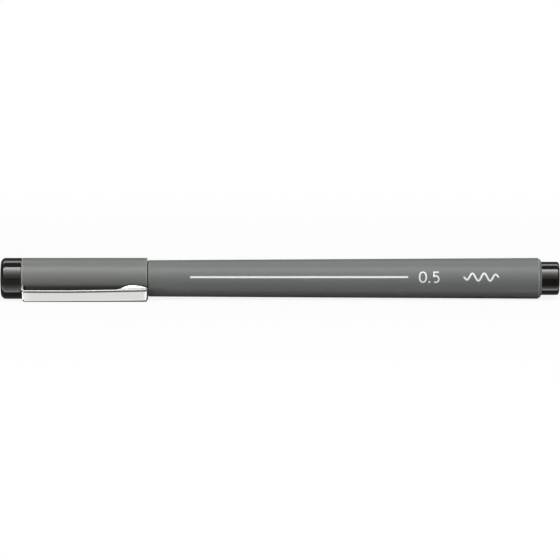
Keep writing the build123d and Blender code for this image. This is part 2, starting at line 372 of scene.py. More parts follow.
@dataclass
class TurnedForm:
    """A surface of revolution with flats and a notch, as a grid of points.

    A point of the outline at (x, r) and a column at the angle t give (x, r sin t, r cos t). A flat lowers
    the part of that along its own direction to its height, and a notch moves x back between its sides.
    """

    corners: Sequence[Corner]
    closed: bool = True  # whether the outline closes, or else ends in poles on the axis
    columns: int = 168  # number of even columns round the axis
    flats: Sequence[Flat] = ()
    notch: Notch | None = None
    stations: Sequence[float] = ()  # places along the axis at which every run that passes gets a point

    def __post_init__(self) -> None:
        """Works out the half section."""
        self.outline = Outline(self.corners, self.closed, self.stations)

    def angles(self) -> Array:
        """The columns' angles: even ones, and a close pair at each side of a flat or notch.

        Returns:
            The angles from the clip's direction, in order.
        """
        sets = [np.linspace(-math.pi, math.pi, self.columns, endpoint=False)]
        for flat in self.flats:
            lean = np.arcsin((flat.half_width + np.array([-WALL, WALL])) / flat.reach)
            sets.append(math.radians(flat.turn) + np.concatenate((-lean, lean)))
        if self.notch:
            sides = np.radians(self.notch.half_angle + np.array([-NOTCH_WALL, NOTCH_WALL]))
            sets.append(np.concatenate((-sides, sides)))
        turned = np.concatenate(sets) + math.pi
        return np.unique(np.round(turned % (2.0 * math.pi) - math.pi, 9))

    def points(self) -> Array:
        """Works out the grid of pen coordinates.

        Returns:
            The points, one row to a point of the outline.
        """
        angle, radius = self.angles()[None, :], self.outline.r[:, None]
        x = self.outline.x[:, None] + np.zeros_like(angle)
        y, z = radius * np.sin(angle), radius * np.cos(angle)
        if self.notch:
            inside = np.abs(angle) <= math.radians(self.notch.half_angle)
            share = unit((self.notch.start + self.notch.run - x) / self.notch.run)
            x = x + self.notch.depth * inside * share
        for flat in self.flats:
            cosine, sine = math.cos(math.radians(flat.turn)), math.sin(math.radians(flat.turn))
            side, up = y * cosine - z * sine, y * sine + z * cosine
            along = (x >= flat.start) & (x <= flat.end) & (radius <= flat.reach + WALL)
            lowered = along & (np.abs(side) <= flat.half_width) & (up > flat.height)
            up = np.where(lowered, flat.height, up)
            y, z = side * cosine + up * sine, up * cosine - side * sine
        return np.stack((x, y, z), axis=-1)

    def piece(self, name: str, marks: dict[str, Array] | None = None) -> Piece:
        """Makes the piece, with the outline's edge marks and any others."""
        edge = {"edge": self.outline.edge[:, None]}
        return grid_piece(name, self.points(), self.closed, True, edge | (marks or {}))


# Shared effects


class NodeSheet:
    """Short calls that add nodes to a node tree and link them."""

    def __init__(self, tree: bpy.types.NodeTree) -> None:
        """Keeps the tree that the calls add to."""
        self.tree = tree

    def feed(self, target: Socket, value: Value) -> None:
        """Links a socket to a node's input, or sets the input to a number or an opaque colour.

        Args:
            target: The input.
            value: The socket, the number or the colour.
        """
        if isinstance(value, Socket):
            self.tree.links.new(value, target)
        else:
            target.default_value = (*value, 1.0) if target.type == "RGBA" else value

    def add(self, kind: str, *first: Value, **values: object) -> Node:
        """Adds a node.

        Args:
            kind: The node's type without its leading words, such as TexNoise.
            *first: What its first inputs take, in order.
            **values: Its own settings, and what its inputs take by their names with _ for a space.

        Returns:
            The node.
        """
        node = self.tree.nodes.new("ShaderNode" + kind)
        for label in [label for label in values if hasattr(node, label)]:
            setattr(node, label, values.pop(label))
        named = [(node.inputs[label.replace("_", " ")], value) for label, value in values.items()]
        for target, value in [*zip(node.inputs, first), *named]:
            self.feed(target, value)
        return node

    def use(self, effect: "Effect", **values: Value) -> Outputs:
        """Places an effect's group with what its inputs take, and gives its outputs."""
        return self.add("Group", node_tree=effect.tree(), **values).outputs

    def place(self) -> Socket:
        """The object coordinates of the point that is shaded."""
        return self.add("TexCoord").outputs["Object"]

    def parts(self, place: Socket) -> tuple[Socket, ...]:
        """The three parts of a place or a direction."""
        return tuple(self.add("SeparateXYZ", place).outputs)

    def mark(self, name: str) -> Socket:
        """A mark on the piece's points, which is 0 where they carry none."""
        return self.add("Attribute", attribute_name=name).outputs["Fac"]

    def noise(self, place: Socket, **values: Value) -> Socket:
        """A noise at a place, with what its inputs take."""
        return self.add("TexNoise", Vector=place, **values).outputs["Fac"]

    def math(self, operation: str, *values: Value, clamp: bool = False) -> Socket:
        """The result of a calculation, cut off below 0 and above 1 if asked."""
        return self.add("Math", *values, operation=operation, use_clamp=clamp).outputs[0]

    def layer(self, share: Value, low: Socket, high: Socket) -> Socket:
        """Mixes two shaders by a share."""
        return self.add("MixShader", share, low, high).outputs[0]

    def bump(self, height: Socket, depth: float, strength: float) -> Socket:
        """The normals of a height pattern with a depth in metres."""
        return self.add("Bump", Strength=strength, Distance=depth, Height=height).outputs["Normal"]

    def blend(self, share: Value, low: Value, high: Value) -> Socket:
        """Mixes two colours.

        Args:
            share: The share of the second.
            low: The first.
            high: The second.

        Returns:
            The mixed colour.
        """
        mix = self.add("Mix", share, data_type="RGBA")
        self.feed(mix.inputs[6], low)
        self.feed(mix.inputs[7], high)
        return mix.outputs[2]

    def spread(
        self, value: Value, low: Value, high: Value, span: Span = (0.0, 1.0), smooth: bool = False
    ) -> Socket:
        """Takes a value to low up to the start of a span, to high from its end, and evenly between.

        Args:
            value: The value.
            low: The result at the span's start.
            high: The result at the span's end.
            span: The span of the value.
            smooth: Whether the way between is eased.

        Returns:
            The result.
        """
        kind = "SMOOTHSTEP" if smooth else "LINEAR"
        return self.add("MapRange", value, *span, low, high, interpolation_type=kind).outputs[0]


class Effect(ABC):
    """A shader node group that is built once and placed in each material that uses it."""

    name: str
    inputs: dict[str, tuple[str, object]] = {}
    outputs: dict[str, str] = {}

    def tree(self) -> bpy.types.NodeTree:
        """Returns the group, and builds it the first time.

        Returns:
            The group.
        """
        group = bpy.data.node_groups.get(self.name)
        if group:
            return group
        group = bpy.data.node_groups.new(self.name, "ShaderNodeTree")
        for label, (kind, value) in self.inputs.items():
            group.interface.new_socket(label, in_out="INPUT", socket_type=kind).default_value = value
        for label, kind in self.outputs.items():
            group.interface.new_socket(label, in_out="OUTPUT", socket_type=kind)
        start, end = (group.nodes.new(kind) for kind in ("NodeGroupInput", "NodeGroupOutput"))
        sheet = NodeSheet(group)
        for label, result in self.results(sheet, start.outputs).items():
            sheet.feed(end.inputs[label], result)
        return group

    @abstractmethod
    def results(self, sheet: NodeSheet, given: Outputs) -> dict[str, Socket]:
        """Adds the group's nodes.

        Args:
            sheet: The group's nodes.
            given: What the group is given, by name.

        Returns:
            What the group puts out, by name.
        """


class MouldedGrain(Effect):
    """The fine skin of a moulded surface: a small height pattern and a slow drift of tone."""

    name = "moulded_grain"
    inputs = {"Scale": (FLOAT, 6000.0), "Drift": (FLOAT, 90.0)}
    outputs = {"Height": FLOAT, "Tone": FLOAT}

    def results(self, sheet: NodeSheet, given: Outputs) -> dict[str, Socket]:
        """Two noises at the two scales: the fine one is the height, the slow one the tone.

        Args:
            sheet: The group's nodes.
            given: The two scales.

        Returns:
            The height and the tone.
        """
        fine = sheet.noise(sheet.place(), Scale=given["Scale"], Detail=3.0, Roughness=0.6)
        slow = sheet.noise(sheet.place(), Scale=given["Drift"], Detail=2.0, Roughness=0.5)
        return {"Height": fine, "Tone": slow}


class DrawnLines(Effect):
    """Fine lines along the pen, as drawing and polishing leave them."""

    name = "drawn_lines"
    inputs = {"Along": (FLOAT, 120.0), "Across": (FLOAT, 9000.0)}
    outputs = {"Height": FLOAT}

    def results(self, sheet: NodeSheet, given: Outputs) -> dict[str, Socket]:
        """One noise on coordinates that are stretched along the pen's axis.

        Args:
            sheet: The group's nodes.
            given: The scales along and across.

        Returns:
            The height.
        """
        factors = sheet.add("CombineXYZ", given["Along"], given["Across"], given["Across"]).outputs[0]
        stretched = sheet.add("VectorMath", sheet.place(), factors, operation="MULTIPLY").outputs[0]
        return {"Height": sheet.noise(stretched, Scale=1.0, Detail=4.0, Roughness=0.65)}


class EdgeRubAndHighlight(Effect):
    """Lighter rounded edges, partly rubbed wear and partly painted highlight: the piece's own edge marks,
    broken up by noise.
    """

    name = "edge_rub_and_highlight"
    inputs = {
        "Colour": (COLOUR, (0.1, 0.1, 0.1, 1.0)),
        "Rubbed": (COLOUR, (0.3, 0.3, 0.3, 1.0)),
        "Amount": (FLOAT, 0.5),
    }
    outputs = {"Colour": COLOUR}
    strength: Span = (0.2, 1.6)  # strength of the rub and painted highlight where the noise is least and greatest

    def results(self, sheet: NodeSheet, given: Outputs) -> dict[str, Socket]:
        """The edge mark times a noise times the amount mixes the two colours.

        Args:
            sheet: The group's nodes.
            given: The two colours and the amount.

        Returns:
            The mixed colour.
        """
        patchy = sheet.spread(sheet.noise(sheet.place(), Scale=900.0, Detail=4.0), *self.strength)
        broken = sheet.math("MULTIPLY", sheet.mark("edge"), patchy)
        mask = sheet.math("MULTIPLY", broken, given["Amount"], clamp=True)
        return {"Colour": sheet.blend(mask, given["Colour"], given["Rubbed"])}


class Handling(Effect):
    """Faint smudges that fingers leave, as a mask."""

    name = "handling"
    inputs = {"Scale": (FLOAT, 260.0)}
    outputs = {"Mask": FLOAT}
    upper: Span = (0.45, 0.75)  # part of the noise that is stretched

    def results(self, sheet: NodeSheet, given: Outputs) -> dict[str, Socket]:
        """A noise whose upper half is stretched to the whole range.

        Args:
            sheet: The group's nodes.
            given: The scale.

        Returns:
            The mask.
        """
        cloud = sheet.noise(
            sheet.place(), Scale=given["Scale"], Detail=5.0, Roughness=0.6, Distortion=0.6
        )
        return {"Mask": sheet.spread(cloud, 0.0, 1.0, self.upper)}


# Finishes


@dataclass(frozen=True)
class Finish(ABC):
    """What a surface is made of. Its material is built on its first use."""

    name: str

    def material(self) -> bpy.types.Material:
        """Returns the finish's material, and builds it the first time.

        Returns:
            The material.
        """
        found = bpy.data.materials.get(self.name)
        if found:
            return found
        made = bpy.data.materials.new(self.name)
        made.use_nodes = True
        sheet = NodeSheet(made.node_tree)
        shader = made.node_tree.nodes["Principled BSDF"]
        for label, value in self.look(sheet).items():
            sheet.feed(shader.inputs[label], value)
        return made

    @abstractmethod
    def look(self, sheet: NodeSheet) -> dict[str, Value]:
        """Adds the nodes of what varies over the surface.

        Args:
            sheet: The material's nodes.

        Returns:
            What the shader's inputs take, by name.
        """

    def dress(self, piece: Piece) -> None:
        """Gives the finish to a new piece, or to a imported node's own material slots.

        Args:
            piece: The piece or the node.
        """
        if not piece.material_slots:
            piece.data.materials.append(self.material())
        for slot in piece.material_slots:
            slot.material = self.material()


@dataclass(frozen=True)
class MouldedPlastic(Finish):
    """Moulded plastic, matt to glossy, with a fine skin, lengthwise drag lines, edges lightened partly as
    rubbed wear and partly as painted highlight, and painted shade where a piece carries its mark.
    """

    dark: Colour  # colour where the tone is low
    light: Colour  # colour where the tone is high
    rubbed_and_lit: Colour  # colour of the edges, lightened partly as rubbed wear and partly as painted highlight
    rub_and_highlight: float = 0.4  # how much the edges are lightened, as rubbed wear and painted highlight
    grime: Colour = (0.09, 0.086, 0.078)  # colour of the painted shade that the clip casts on the tube
    smooth: float = 0.42  # roughness of the clean surface
    smudged: float = 0.5  # roughness under smudges
    grain: float = 7000.0  # scale of the skin, per metre
    grain_depth: float = 1.5e-5  # depth of the skin in metres
    relief: float = 0.6  # how much of it shows
    lines: float = 0.35  # share of drag lines in the relief, from 0 to 1
    sheen: float = 0.5  # strength of the surface's own reflection
    coat: float = 0.0  # weight of the clear gloss on top
    coat_roughness: float = 0.1  # roughness of that gloss

    def look(self, sheet: NodeSheet) -> dict[str, Value]:
        """Tone mixes the colour, smudges set the roughness, and skin and drag lines make the relief.

        Args:
            sheet: The material's nodes.

        Returns:
            What the shader's inputs take, by name.
        """
        grain = sheet.use(MouldedGrain(), Scale=self.grain)
        lines = sheet.use(DrawnLines())["Height"]
        tone = sheet.blend(grain["Tone"], self.dark, self.light)
        rubbed_and_lit = sheet.use(EdgeRubAndHighlight(), Colour=tone, Rubbed=self.rubbed_and_lit, Amount=self.rub_and_highlight)["Colour"]
        height = sheet.spread(self.lines, grain["Height"], lines)
        return {
            # the mark paints shade into the colour where the clip shades the tube
            "Base Color": sheet.blend(sheet.mark("grime"), rubbed_and_lit, self.grime),
            "Roughness": sheet.spread(sheet.use(Handling())["Mask"], self.smooth, self.smudged),
            "Normal": sheet.bump(height, self.grain_depth, self.relief),
            "Specular IOR Level": self.sheen,
            "Coat Weight": self.coat,
            "Coat Roughness": self.coat_roughness,
        }


@dataclass(frozen=True)
class DrawnSteel(Finish):
    """Bright steel strip or tube with fine lengthwise polishing lines."""

    dark: Colour  # colour in the lines
    light: Colour  # colour between them
    brightened: Colour  # colour of the brighter bends and tip
    inner: Colour = (0.05, 0.05, 0.05)  # colour of the inner sides, painted near black as the shade between the strip and the cap
    smooth: float = 0.12  # roughness of the brightest places
    dull: float = 0.22  # roughness of the dullest places
    cut: float = 0.4  # roughness of sheared edges
    smudges: float = 340.0  # scale of the smudges, per metre
    along: float = 160.0  # scale of the lines along the pen, per metre
    across: float = 14000.0  # their scale across it
    depth: float = 1.0e-6  # their depth in metres
    relief: float = 0.5  # how much of it shows

    def look(self, sheet: NodeSheet) -> dict[str, Value]:
        """The lines mix the colour and make the relief, and smudges and cut edges dull the gloss.

        Args:
            sheet: The material's nodes.

        Returns:
            What the shader's inputs take, by name.
        """
        lines = sheet.use(DrawnLines(), Along=self.along, Across=self.across)["Height"]
        smudge = sheet.use(Handling(), Scale=self.smudges)["Mask"]
        tone = sheet.blend(lines, self.dark, self.light)
        bright = sheet.use(EdgeRubAndHighlight(), Colour=tone, Rubbed=self.brightened, Amount=1.0)["Colour"]
        dulled = sheet.spread(smudge, self.smooth, self.dull)
        return {
            # the inner sides are painted dark as the shade between clip and cap
            "Base Color": sheet.blend(sheet.mark("inner"), bright, self.inner),
            "Roughness": sheet.spread(sheet.mark("cut"), dulled, self.cut),
            "Normal": sheet.bump(lines, self.depth, self.relief),
            "Metallic": 1.0,
        }


@dataclass(frozen=True)
class BondedFibre(Finish):
    """A rod of bonded fibres that run lengthwise, soaked with ink."""

    dark: Colour  # colour of the soaked fibres
    light: Colour  # colour of the drier fibres
    along: float = 900.0  # scale of the fibres along the rod, per metre
    across: float = 16000.0  # their number per metre across it
    drift: float = 200.0  # scale at which the roughness drifts, per metre
    rough: Span = (0.6, 0.95)  # least and greatest roughness
    depth: float = 4.0e-5  # depth of the fibres in metres
    relief: float = 0.8  # how much of it shows

    def look(self, sheet: NodeSheet) -> dict[str, Value]:
        """The fibres mix the colour and make the relief, and a slow drift changes the roughness.

        Args:
            sheet: The material's nodes.

        Returns:
            What the shader's inputs take, by name.
        """
        fibres = sheet.use(DrawnLines(), Along=self.along, Across=self.across)["Height"]
        drift = sheet.use(MouldedGrain(), Drift=self.drift)["Tone"]
        return {
            "Base Color": sheet.blend(fibres, self.dark, self.light),
            "Roughness": sheet.spread(drift, *self.rough),
            "Normal": sheet.bump(fibres, self.depth, self.relief),
        }


@dataclass(frozen=True)
class PrintedInk(Finish):
    """Opaque pad-printed ink, slightly uneven."""

    thin: Colour  # colour where the ink is thin
    full: Colour  # colour where it covers fully
    grain: float = 9000.0  # scale of its grain, per metre
    drift: float = 1400.0  # scale at which its cover drifts, per metre
    rough: Span = (0.4, 0.6)  # least and greatest roughness
    depth: float = 4.0e-6  # depth of its grain in metres
    relief: float = 0.5  # how much of it shows

    def look(self, sheet: NodeSheet) -> dict[str, Value]:
        """A fine grain mixes the two colours and makes a faint relief.

        Args:
            sheet: The material's nodes.

        Returns:
            What the shader's inputs take, by name.
        """
        grain = sheet.use(MouldedGrain(), Scale=self.grain, Drift=self.drift)
        return {
            "Base Color": sheet.blend(grain["Tone"], self.thin, self.full),
            "Roughness": sheet.spread(grain["Height"], *self.rough),
            "Normal": sheet.bump(grain["Height"], self.depth, self.relief),
        }


GREY = MouldedPlastic(
    "satin_grey_plastic", linear(114, 117, 111), linear(121, 123, 117), linear(196, 198, 193), rub_and_highlight=0.68
)
BARREL_GREY = MouldedPlastic(
    "satin_barrel_plastic",
    linear(112, 116, 113),
    linear(118, 122, 119),
    linear(194, 198, 194),
    rub_and_highlight=0.68,
    sheen=0.36,
)
BLACK = MouldedPlastic(
    "gloss_black_plastic",
    linear(22, 20, 16),
    linear(28, 26, 21),
    linear(44, 44, 43),
    rub_and_highlight=0.3,
    smooth=0.1,
    smudged=0.18,
    grain=2500.0,
    grain_depth=1.5e-6,
    lines=0.5,
    coat=1.0,
    coat_roughness=0.06,
)
SECTION = MouldedPlastic(
    "satin_black_plastic",
    linear(32, 32, 33),
    linear(40, 40, 41),
    linear(66, 66, 67),
    smooth=0.34,
    smudged=0.44,
)
MILKY = MouldedPlastic(
    "milky_plastic",
    linear(214, 213, 206),
    linear(226, 225, 219),
    linear(235, 235, 230),
    smooth=0.38,
    smudged=0.46,
)
NIB_PLASTIC = MouldedPlastic(
    "nib_plastic_black",
    linear(38, 38, 40),
    linear(52, 52, 54),
    linear(80, 80, 82),
    smooth=0.5,
    smudged=0.6,
    grain=22000.0,
)
FILM = MouldedPlastic(
    "wrapped_film",
    linear(205, 210, 212),
    linear(222, 226, 228),
    linear(230, 232, 233),
    smooth=0.18,
    smudged=0.3,
    lines=0.8,
)
CLIP_STEEL = DrawnSteel(
    "bright_strip_steel", linear(220, 220, 217), linear(236, 236, 234), linear(252, 252, 251)
)
NIB_STEEL = DrawnSteel(
    "drawn_tube_steel",
    linear(176, 177, 178),
    linear(205, 206, 206),
    linear(226, 227, 227),
    smooth=0.2,
    dull=0.32,
    across=30000.0,
)
FIBRE = BondedFibre("bonded_fibre", linear(24, 24, 27), linear(58, 58, 62))
WHITE_INK = PrintedInk("white_ink", linear(238, 239, 237), linear(250, 250, 249))


def settle(
    piece: Piece, finish: Finish, body: Body, node: str | None = None
) -> None:
    """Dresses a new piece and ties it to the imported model.

    Args:
        piece: The piece.
        finish: Its finish.
        body: The body that it rides on.
        node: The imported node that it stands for.
    """
    finish.dress(piece)
    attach(piece, body.value)
    if node:
        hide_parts(node)
    LOG.info("%s rides on %s with %d faces", piece.name, body.value, len(piece.data.polygons))


# The cap


@dataclass(frozen=True)
class Cap:
    """The cap: its grey tube, its black end plug and the milky cup inside, in millimetres."""

    radius: float = 5.2  # outer radius of the tube and the plug
    bore: float = 4.25  # radius of the bore from the mouth
    plug_bore: float = 4.4  # radius of the wider bore for the plug
    seam: float = 5.52  # where the plug's head ends and the tube starts
    step: float = 12.8  # where the wider bore ends
    mouth: float = 37.33  # where the tube ends
    rim: float = 0.2  # rounding of the tube's rim at the seam
    mouth_rim: float = 0.11  # rounding of the tube's rim at the mouth
    lead: float = 0.3  # chamfer inside the mouth
    lead_round: float = 0.06  # rounding of that chamfer's edges
    notch_depth: float = 0.86  # depth of the clip's notch in the tube
    notch_run: float = 6.0  # length over which the tube's points close up behind it
    notch_half_angle: float = 18.7  # half of its angle, in degrees
    grime: Span = (9.5, 20.5)  # degrees from the clip's middle between which the painted shade under the clip thins out
    dome: float = 0.32  # rise of the plug's rounded end
    dome_edge: float = 1.25  # rounding between that end and the plug's side
    seam_edge: float = 0.22  # rounding of the plug's head at the seam
    spigot: float = 4.38  # radius of the plug's spigot
    spigot_end: float = 12.7  # where the spigot ends
    spigot_round: float = 0.1  # rounding of its end
    cup_bore: float = 3.27  # radius of its bore for the cup
    cup_seat: float = 6.1  # where the cup sits
    core: float = 2.75  # radius of the plug's core
    core_end: float = 1.5  # where the core ends
    core_round: float = 0.2  # rounding of its end
    pocket_end: float = 7.75  # where the pocket for the clip's toe ends
    pocket_half_width: float = 1.1
    pocket_floor: float = 3.435  # height of its floor over the axis

    def build_tube(self) -> Piece:
        """The grey tube, turned, with rounded rims, the clip's notch and painted shade under the clip that
        thins out beside it.

        Returns:
            The piece.
        """
        form = TurnedForm(
            [
                Corner(self.seam, self.plug_bore),
                Corner(self.seam, self.radius, self.rim),
                Corner(self.mouth, self.radius, self.mouth_rim),
                Corner(self.mouth, self.bore + self.lead, self.lead_round),
                Corner(self.mouth - self.lead, self.bore, self.lead_round),
                Corner(self.step, self.bore),
                Corner(self.step, self.plug_bore),
            ],
            notch=Notch(self.seam, self.notch_run, self.notch_depth, self.notch_half_angle),
        )
        # painted shade: darkest under the clip's middle, gone beyond the far angle
        near, far = self.grime
        thin = eased((far - np.degrees(np.abs(form.angles()))) / (far - near))
        outside = form.outline.r > self.bore + self.lead
        return form.piece("cap_tube", {"grime": thin * outside[:, None]})

    def build_plug(self) -> Piece:
        """The black plug, turned, with a domed end, and a pocket in its spigot for the clip's toe.

        Returns:
            The piece.
        """
        end, half_width = self.pocket_end, self.pocket_half_width
        form = TurnedForm(
            [
                *domed_end(self.radius, self.dome, self.dome_edge),
                Corner(self.seam, self.radius, self.seam_edge, 0.0),
                Corner(self.seam, self.spigot),
                Corner(self.spigot_end, self.spigot, self.spigot_round),
                Corner(self.spigot_end, self.cup_bore, self.spigot_round),
                Corner(self.cup_seat, self.cup_bore),
                Corner(self.cup_seat, self.core),
                Corner(self.core_end, self.core, self.core_round),
                Corner(self.core_end, 0.0),
            ],
            closed=False,
            flats=[Flat(self.seam - WALL, end, half_width, self.pocket_floor, self.spigot)],
            stations=(end - WALL, end + WALL),
        )
        return form.piece("cap_end")

    def make(self) -> None:
        """Builds and dresses the cap's pieces."""
        settle(self.build_tube(), GREY, Body.CAP, "cap_sleeve")
        settle(self.build_plug(), BLACK, Body.CAP, "cap_end_plug")
        MILKY.dress(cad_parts["inner_cap"])


# The pocket clip


@dataclass(frozen=True)
class PocketClip:
    """The sprung strip of the clip, with its hooked toe and two folded ears, in millimetres.

    The flat blank has the coordinates s along its outer face from the toe's end, and v across. A closed
    section runs round the rim of the blank and is then bent with it.
    """

    half_width: float = 1.645
    thickness: float = 0.55  # thickness of the sheet
    rim_depth: float = 0.58  # depth of the arm's sides below the face
    rim_run: float = 1.5  # length of the arm over which they reach it
    face: float = 8.09  # height of the outer face over the axis
    leg_x: float = 5.57  # place of the leg's outer face along the axis
    tip_x: float = 37.64  # place of the tip along the axis
    bend: float = 1.15  # outer radius of the two bends
    toe_x: float = 7.55  # where the toe ends
    toe_height: float = 3.535  # height of the toe's outer face over the axis
    toe_half_width: float = 1.0
    foot_height: float = 4.8  # height on the leg where the toe's width ends
    foot_half: float = 0.15  # half of the length over which the width changes there
    foot_close: float = 0.2  # half of the length that gets closer points there
    corner: float = 0.48  # rounding of the blank's corners
    bevel_across: float = 0.43  # width of the bevel along the strip's sides, on the face
    bevel_depth: float = 0.22  # depth of that bevel on the side
    bevel_round: float = 0.07  # rounding of that bevel's edges
    bevel_lead: float = 0.3  # length of face and side on which that rounding is worked out
    lower_across: float = 0.46  # width of the bevel on the side that lies lower
    lower_depth: float = 0.16  # depth of the bevel on that side
    leg_bevel: float = 0.3  # share of the bevel that is left on the leg
    root_skew: float = 0.16  # how much further along the axis the lower side of the leg lies
    skew_reach: float = 6.0  # length of the arm over which that fades out
    root_widening: float = 0.14  # how much the side that lies upper widens at the root
    root_reach: float = 12.0  # length of the arm over which that fades out
    tip_fold: float = 0.45  # outer rounding at the tip
    tip_lean: float = 25.0  # angle by which the tip's front leans out, in degrees
    tip_brightening: float = 4.0  # power by which the tip's brighter colour fades inwards
    rim_round: float = 0.1  # rounding of the lower rims
    inner_fold: float = 0.08  # rounding inside the ears' folds
    fold_slack: float = 0.01  # half of the length that the inner wall leans
    tip_widening: float = 0.2  # how much wider each side is at the tip than at the root
    upper_widening: float = 0.08  # how much more the side that lies upper widens
    tip_drop: float = 0.36  # how much lower the face is at the tip than at the root
    taper_power: float = 1.6  # power by which the arm widens and drops
    ear_start: float = 29.2  # where the ears start to rise
    ear_lead: float = 1.0  # length before that which gets closer points
    ear_blend: float = 0.4  # rise over which an ear's side turns dull
    crest_x: float = 33.3  # place of the ears' crest
    crest_depth: float = 1.82  # depth of the crest below the face
    tip_depth: float = 0.95  # depth of the tip's front below the face
    tip_handle: float = 0.55  # how much deeper the last handle of the ears' curve lies
    rise_shares: tuple[float, ...] = (0.0, 0.34, 0.54, 1.0)  # handles of the curve up to the crest
    fall_shares: tuple[float, ...] = (0.0, 0.33, 0.72, 1.0)  # handles of the curve down from it
    spine_shares: tuple[float, ...] = (1.0, 0.62, 0.3, 0.1)  # points of the face between spine and edge
    flare: float = 24.0  # angle by which the ears' lower parts spread, in degrees
    flare_depth: float = 1.0  # depth below the face where they start to spread
    flare_round: float = 0.1  # rounding of that bend
    arm_cut: float = 0.45  # how dull the arm's sides are, where the ears are 1
    run_points: tuple[int, ...] = (4, 12, 10, 6, 16, 16, 76)  # toe, its bend, foot, leg, root bend, arm, ears
    end_points: tuple[int, ...] = (4, 8, 11)  # across half of the toe and of the tip, and round a corner
    section_points: tuple[int, ...] = (6, 22, 14, 4)  # round a rim, down the side, up inside, across the rim
    curve_points: int = 80  # along each curve of the ears

    def runs(self) -> Array:
        """Works out the lengths along the blank at which its runs end.

        Returns:
            The ends of the toe, its bend, the leg, the root bend and the arm.
        """
        toe = self.toe_x - self.leg_x - self.bend
        quarter = math.pi / 2.0 * self.bend
        leg = self.face - self.toe_height - 2.0 * self.bend
        arm = self.tip_x - self.leg_x - self.bend
        return np.cumsum([toe, quarter, leg, quarter, arm])

    def taper(self, s: Array) -> Array:
        """How far the arm has widened and dropped: 0 up to the root bend, then a power curve to the tip."""
        start, end = self.runs()[3:]
        return unit((s - start) / (end - start)) ** self.taper_power

    def bent(self, s: Array, depth: Array) -> tuple[Array, Array]:
        """Bends points of the blank: straight runs stay, and arcs have the bend's radius less the depth.

        Args:
            s: Lengths along the outer face.
            depth: Depths below the outer face.

        Returns:
            The places along the axis and the heights over it.
        """
        ends = self.runs()
        middle, inner = self.leg_x + self.bend, self.bend - depth
        low, high = self.toe_height + self.bend, self.face - self.bend
        first, second = (s - ends[0]) / self.bend, (s - ends[2]) / self.bend
        which = [s < end for end in ends[:4]]
        toe, leg, arm = self.toe_x - s, self.leg_x + depth, middle + s - ends[3]
        x = np.select(which, [toe, middle - inner * np.sin(first), leg, middle - inner * np.cos(second)], arm)
        toe, leg = self.toe_height + depth, low + s - ends[1]
        arm = self.face - depth - self.tip_drop * self.taper(s)
        z = np.select(which, [toe, low - inner * np.cos(first), leg, high + inner * np.sin(second)], arm)
        return x, z

    def half_rim(self) -> tuple[Array, ...]:
        """Half of the blank's rim from the middle of the toe's end to the middle of the tip.

        Returns:
            Lengths s, widths v, the two parts of the direction that points out of the rim, and the two parts
            of the direction in which the rim moves in beyond its corners' radius.
        """
        ends = self.runs()
        tip, c = ends[4], self.corner
        foot = ends[1] + self.foot_height - self.toe_height - self.bend
        ears = tip - self.tip_x + self.ear_start - self.ear_lead
        starts = (c, ends[0], foot - self.foot_close, ends[1], ends[2], ends[3], ears)
        stops = (ends[0], ends[1], foot + self.foot_close, ends[2], ends[3], ears, tip - c)
        s = np.concatenate([np.linspace(*run) for run in zip(starts, stops, self.run_points)])
        s = np.unique(np.round(s, 6))[1:-1]
        widen = eased((s - foot + self.foot_half) / (2.0 * self.foot_half))
        v = self.toe_half_width + (self.half_width - self.toe_half_width) * widen
        v = v + self.tip_widening * self.taper(s)
        toe_half, tip_half = self.toe_half_width, self.half_width + self.tip_widening
        on_toe, on_tip, on_corner = self.end_points
        toe_v = np.linspace(0.0, toe_half - c, on_toe)[:-1]
        tip_v = np.linspace(tip_half - c, 0.0, on_tip)[1:]
        quarter = np.linspace(0.0, math.pi / 2.0, on_corner)
        sine, cosine = np.sin(quarter), np.cos(quarter)
        zero, one = np.zeros_like, np.ones_like
        parts = (
            (zero(toe_v), c - c * cosine, s, tip - c + c * sine, tip + zero(tip_v)),
            (toe_v, toe_half - c + c * sine, v, tip_half - c + c * cosine, tip_v),
            (-one(toe_v), -cosine, zero(s), sine, one(tip_v)),
            (zero(toe_v), sine, one(s), cosine, zero(tip_v)),
            (-one(toe_v), -one(sine), zero(s), one(sine), one(tip_v)),
            (zero(toe_v), one(sine), one(s), one(sine), zero(tip_v)),
        )
        return tuple(np.concatenate(part) for part in parts)

    def ear_depth(self, x: Array) -> Array:
        """Depth of the lower rim below the face: even along the arm, then two Bezier curves over the crest.

        Args:
            x: Places along the axis.

        Returns:
            The depths.
        """
        t = np.linspace(0.0, 1.0, self.curve_points)
        cubic = np.stack(((1 - t) ** 3, 3 * t * (1 - t) ** 2, 3 * t**2 * (1 - t), t**3))
        rim, crest, tip = self.rim_depth, self.crest_depth, self.tip_depth
        rise_x = self.ear_start + (self.crest_x - self.ear_start) * np.array(self.rise_shares)
        fall_x = self.crest_x + (self.tip_x - self.crest_x) * np.array(self.fall_shares)
        rise, fall = np.array([rim, rim, crest, crest]), np.array([crest, crest, tip + self.tip_handle, tip])
        start = self.leg_x + self.bend
        along = np.concatenate(([start, start + self.rim_run], rise_x @ cubic, fall_x @ cubic))
        depth = np.concatenate(([self.thickness, rim], rise @ cubic, fall @ cubic))
        return np.interp(x, along, depth)

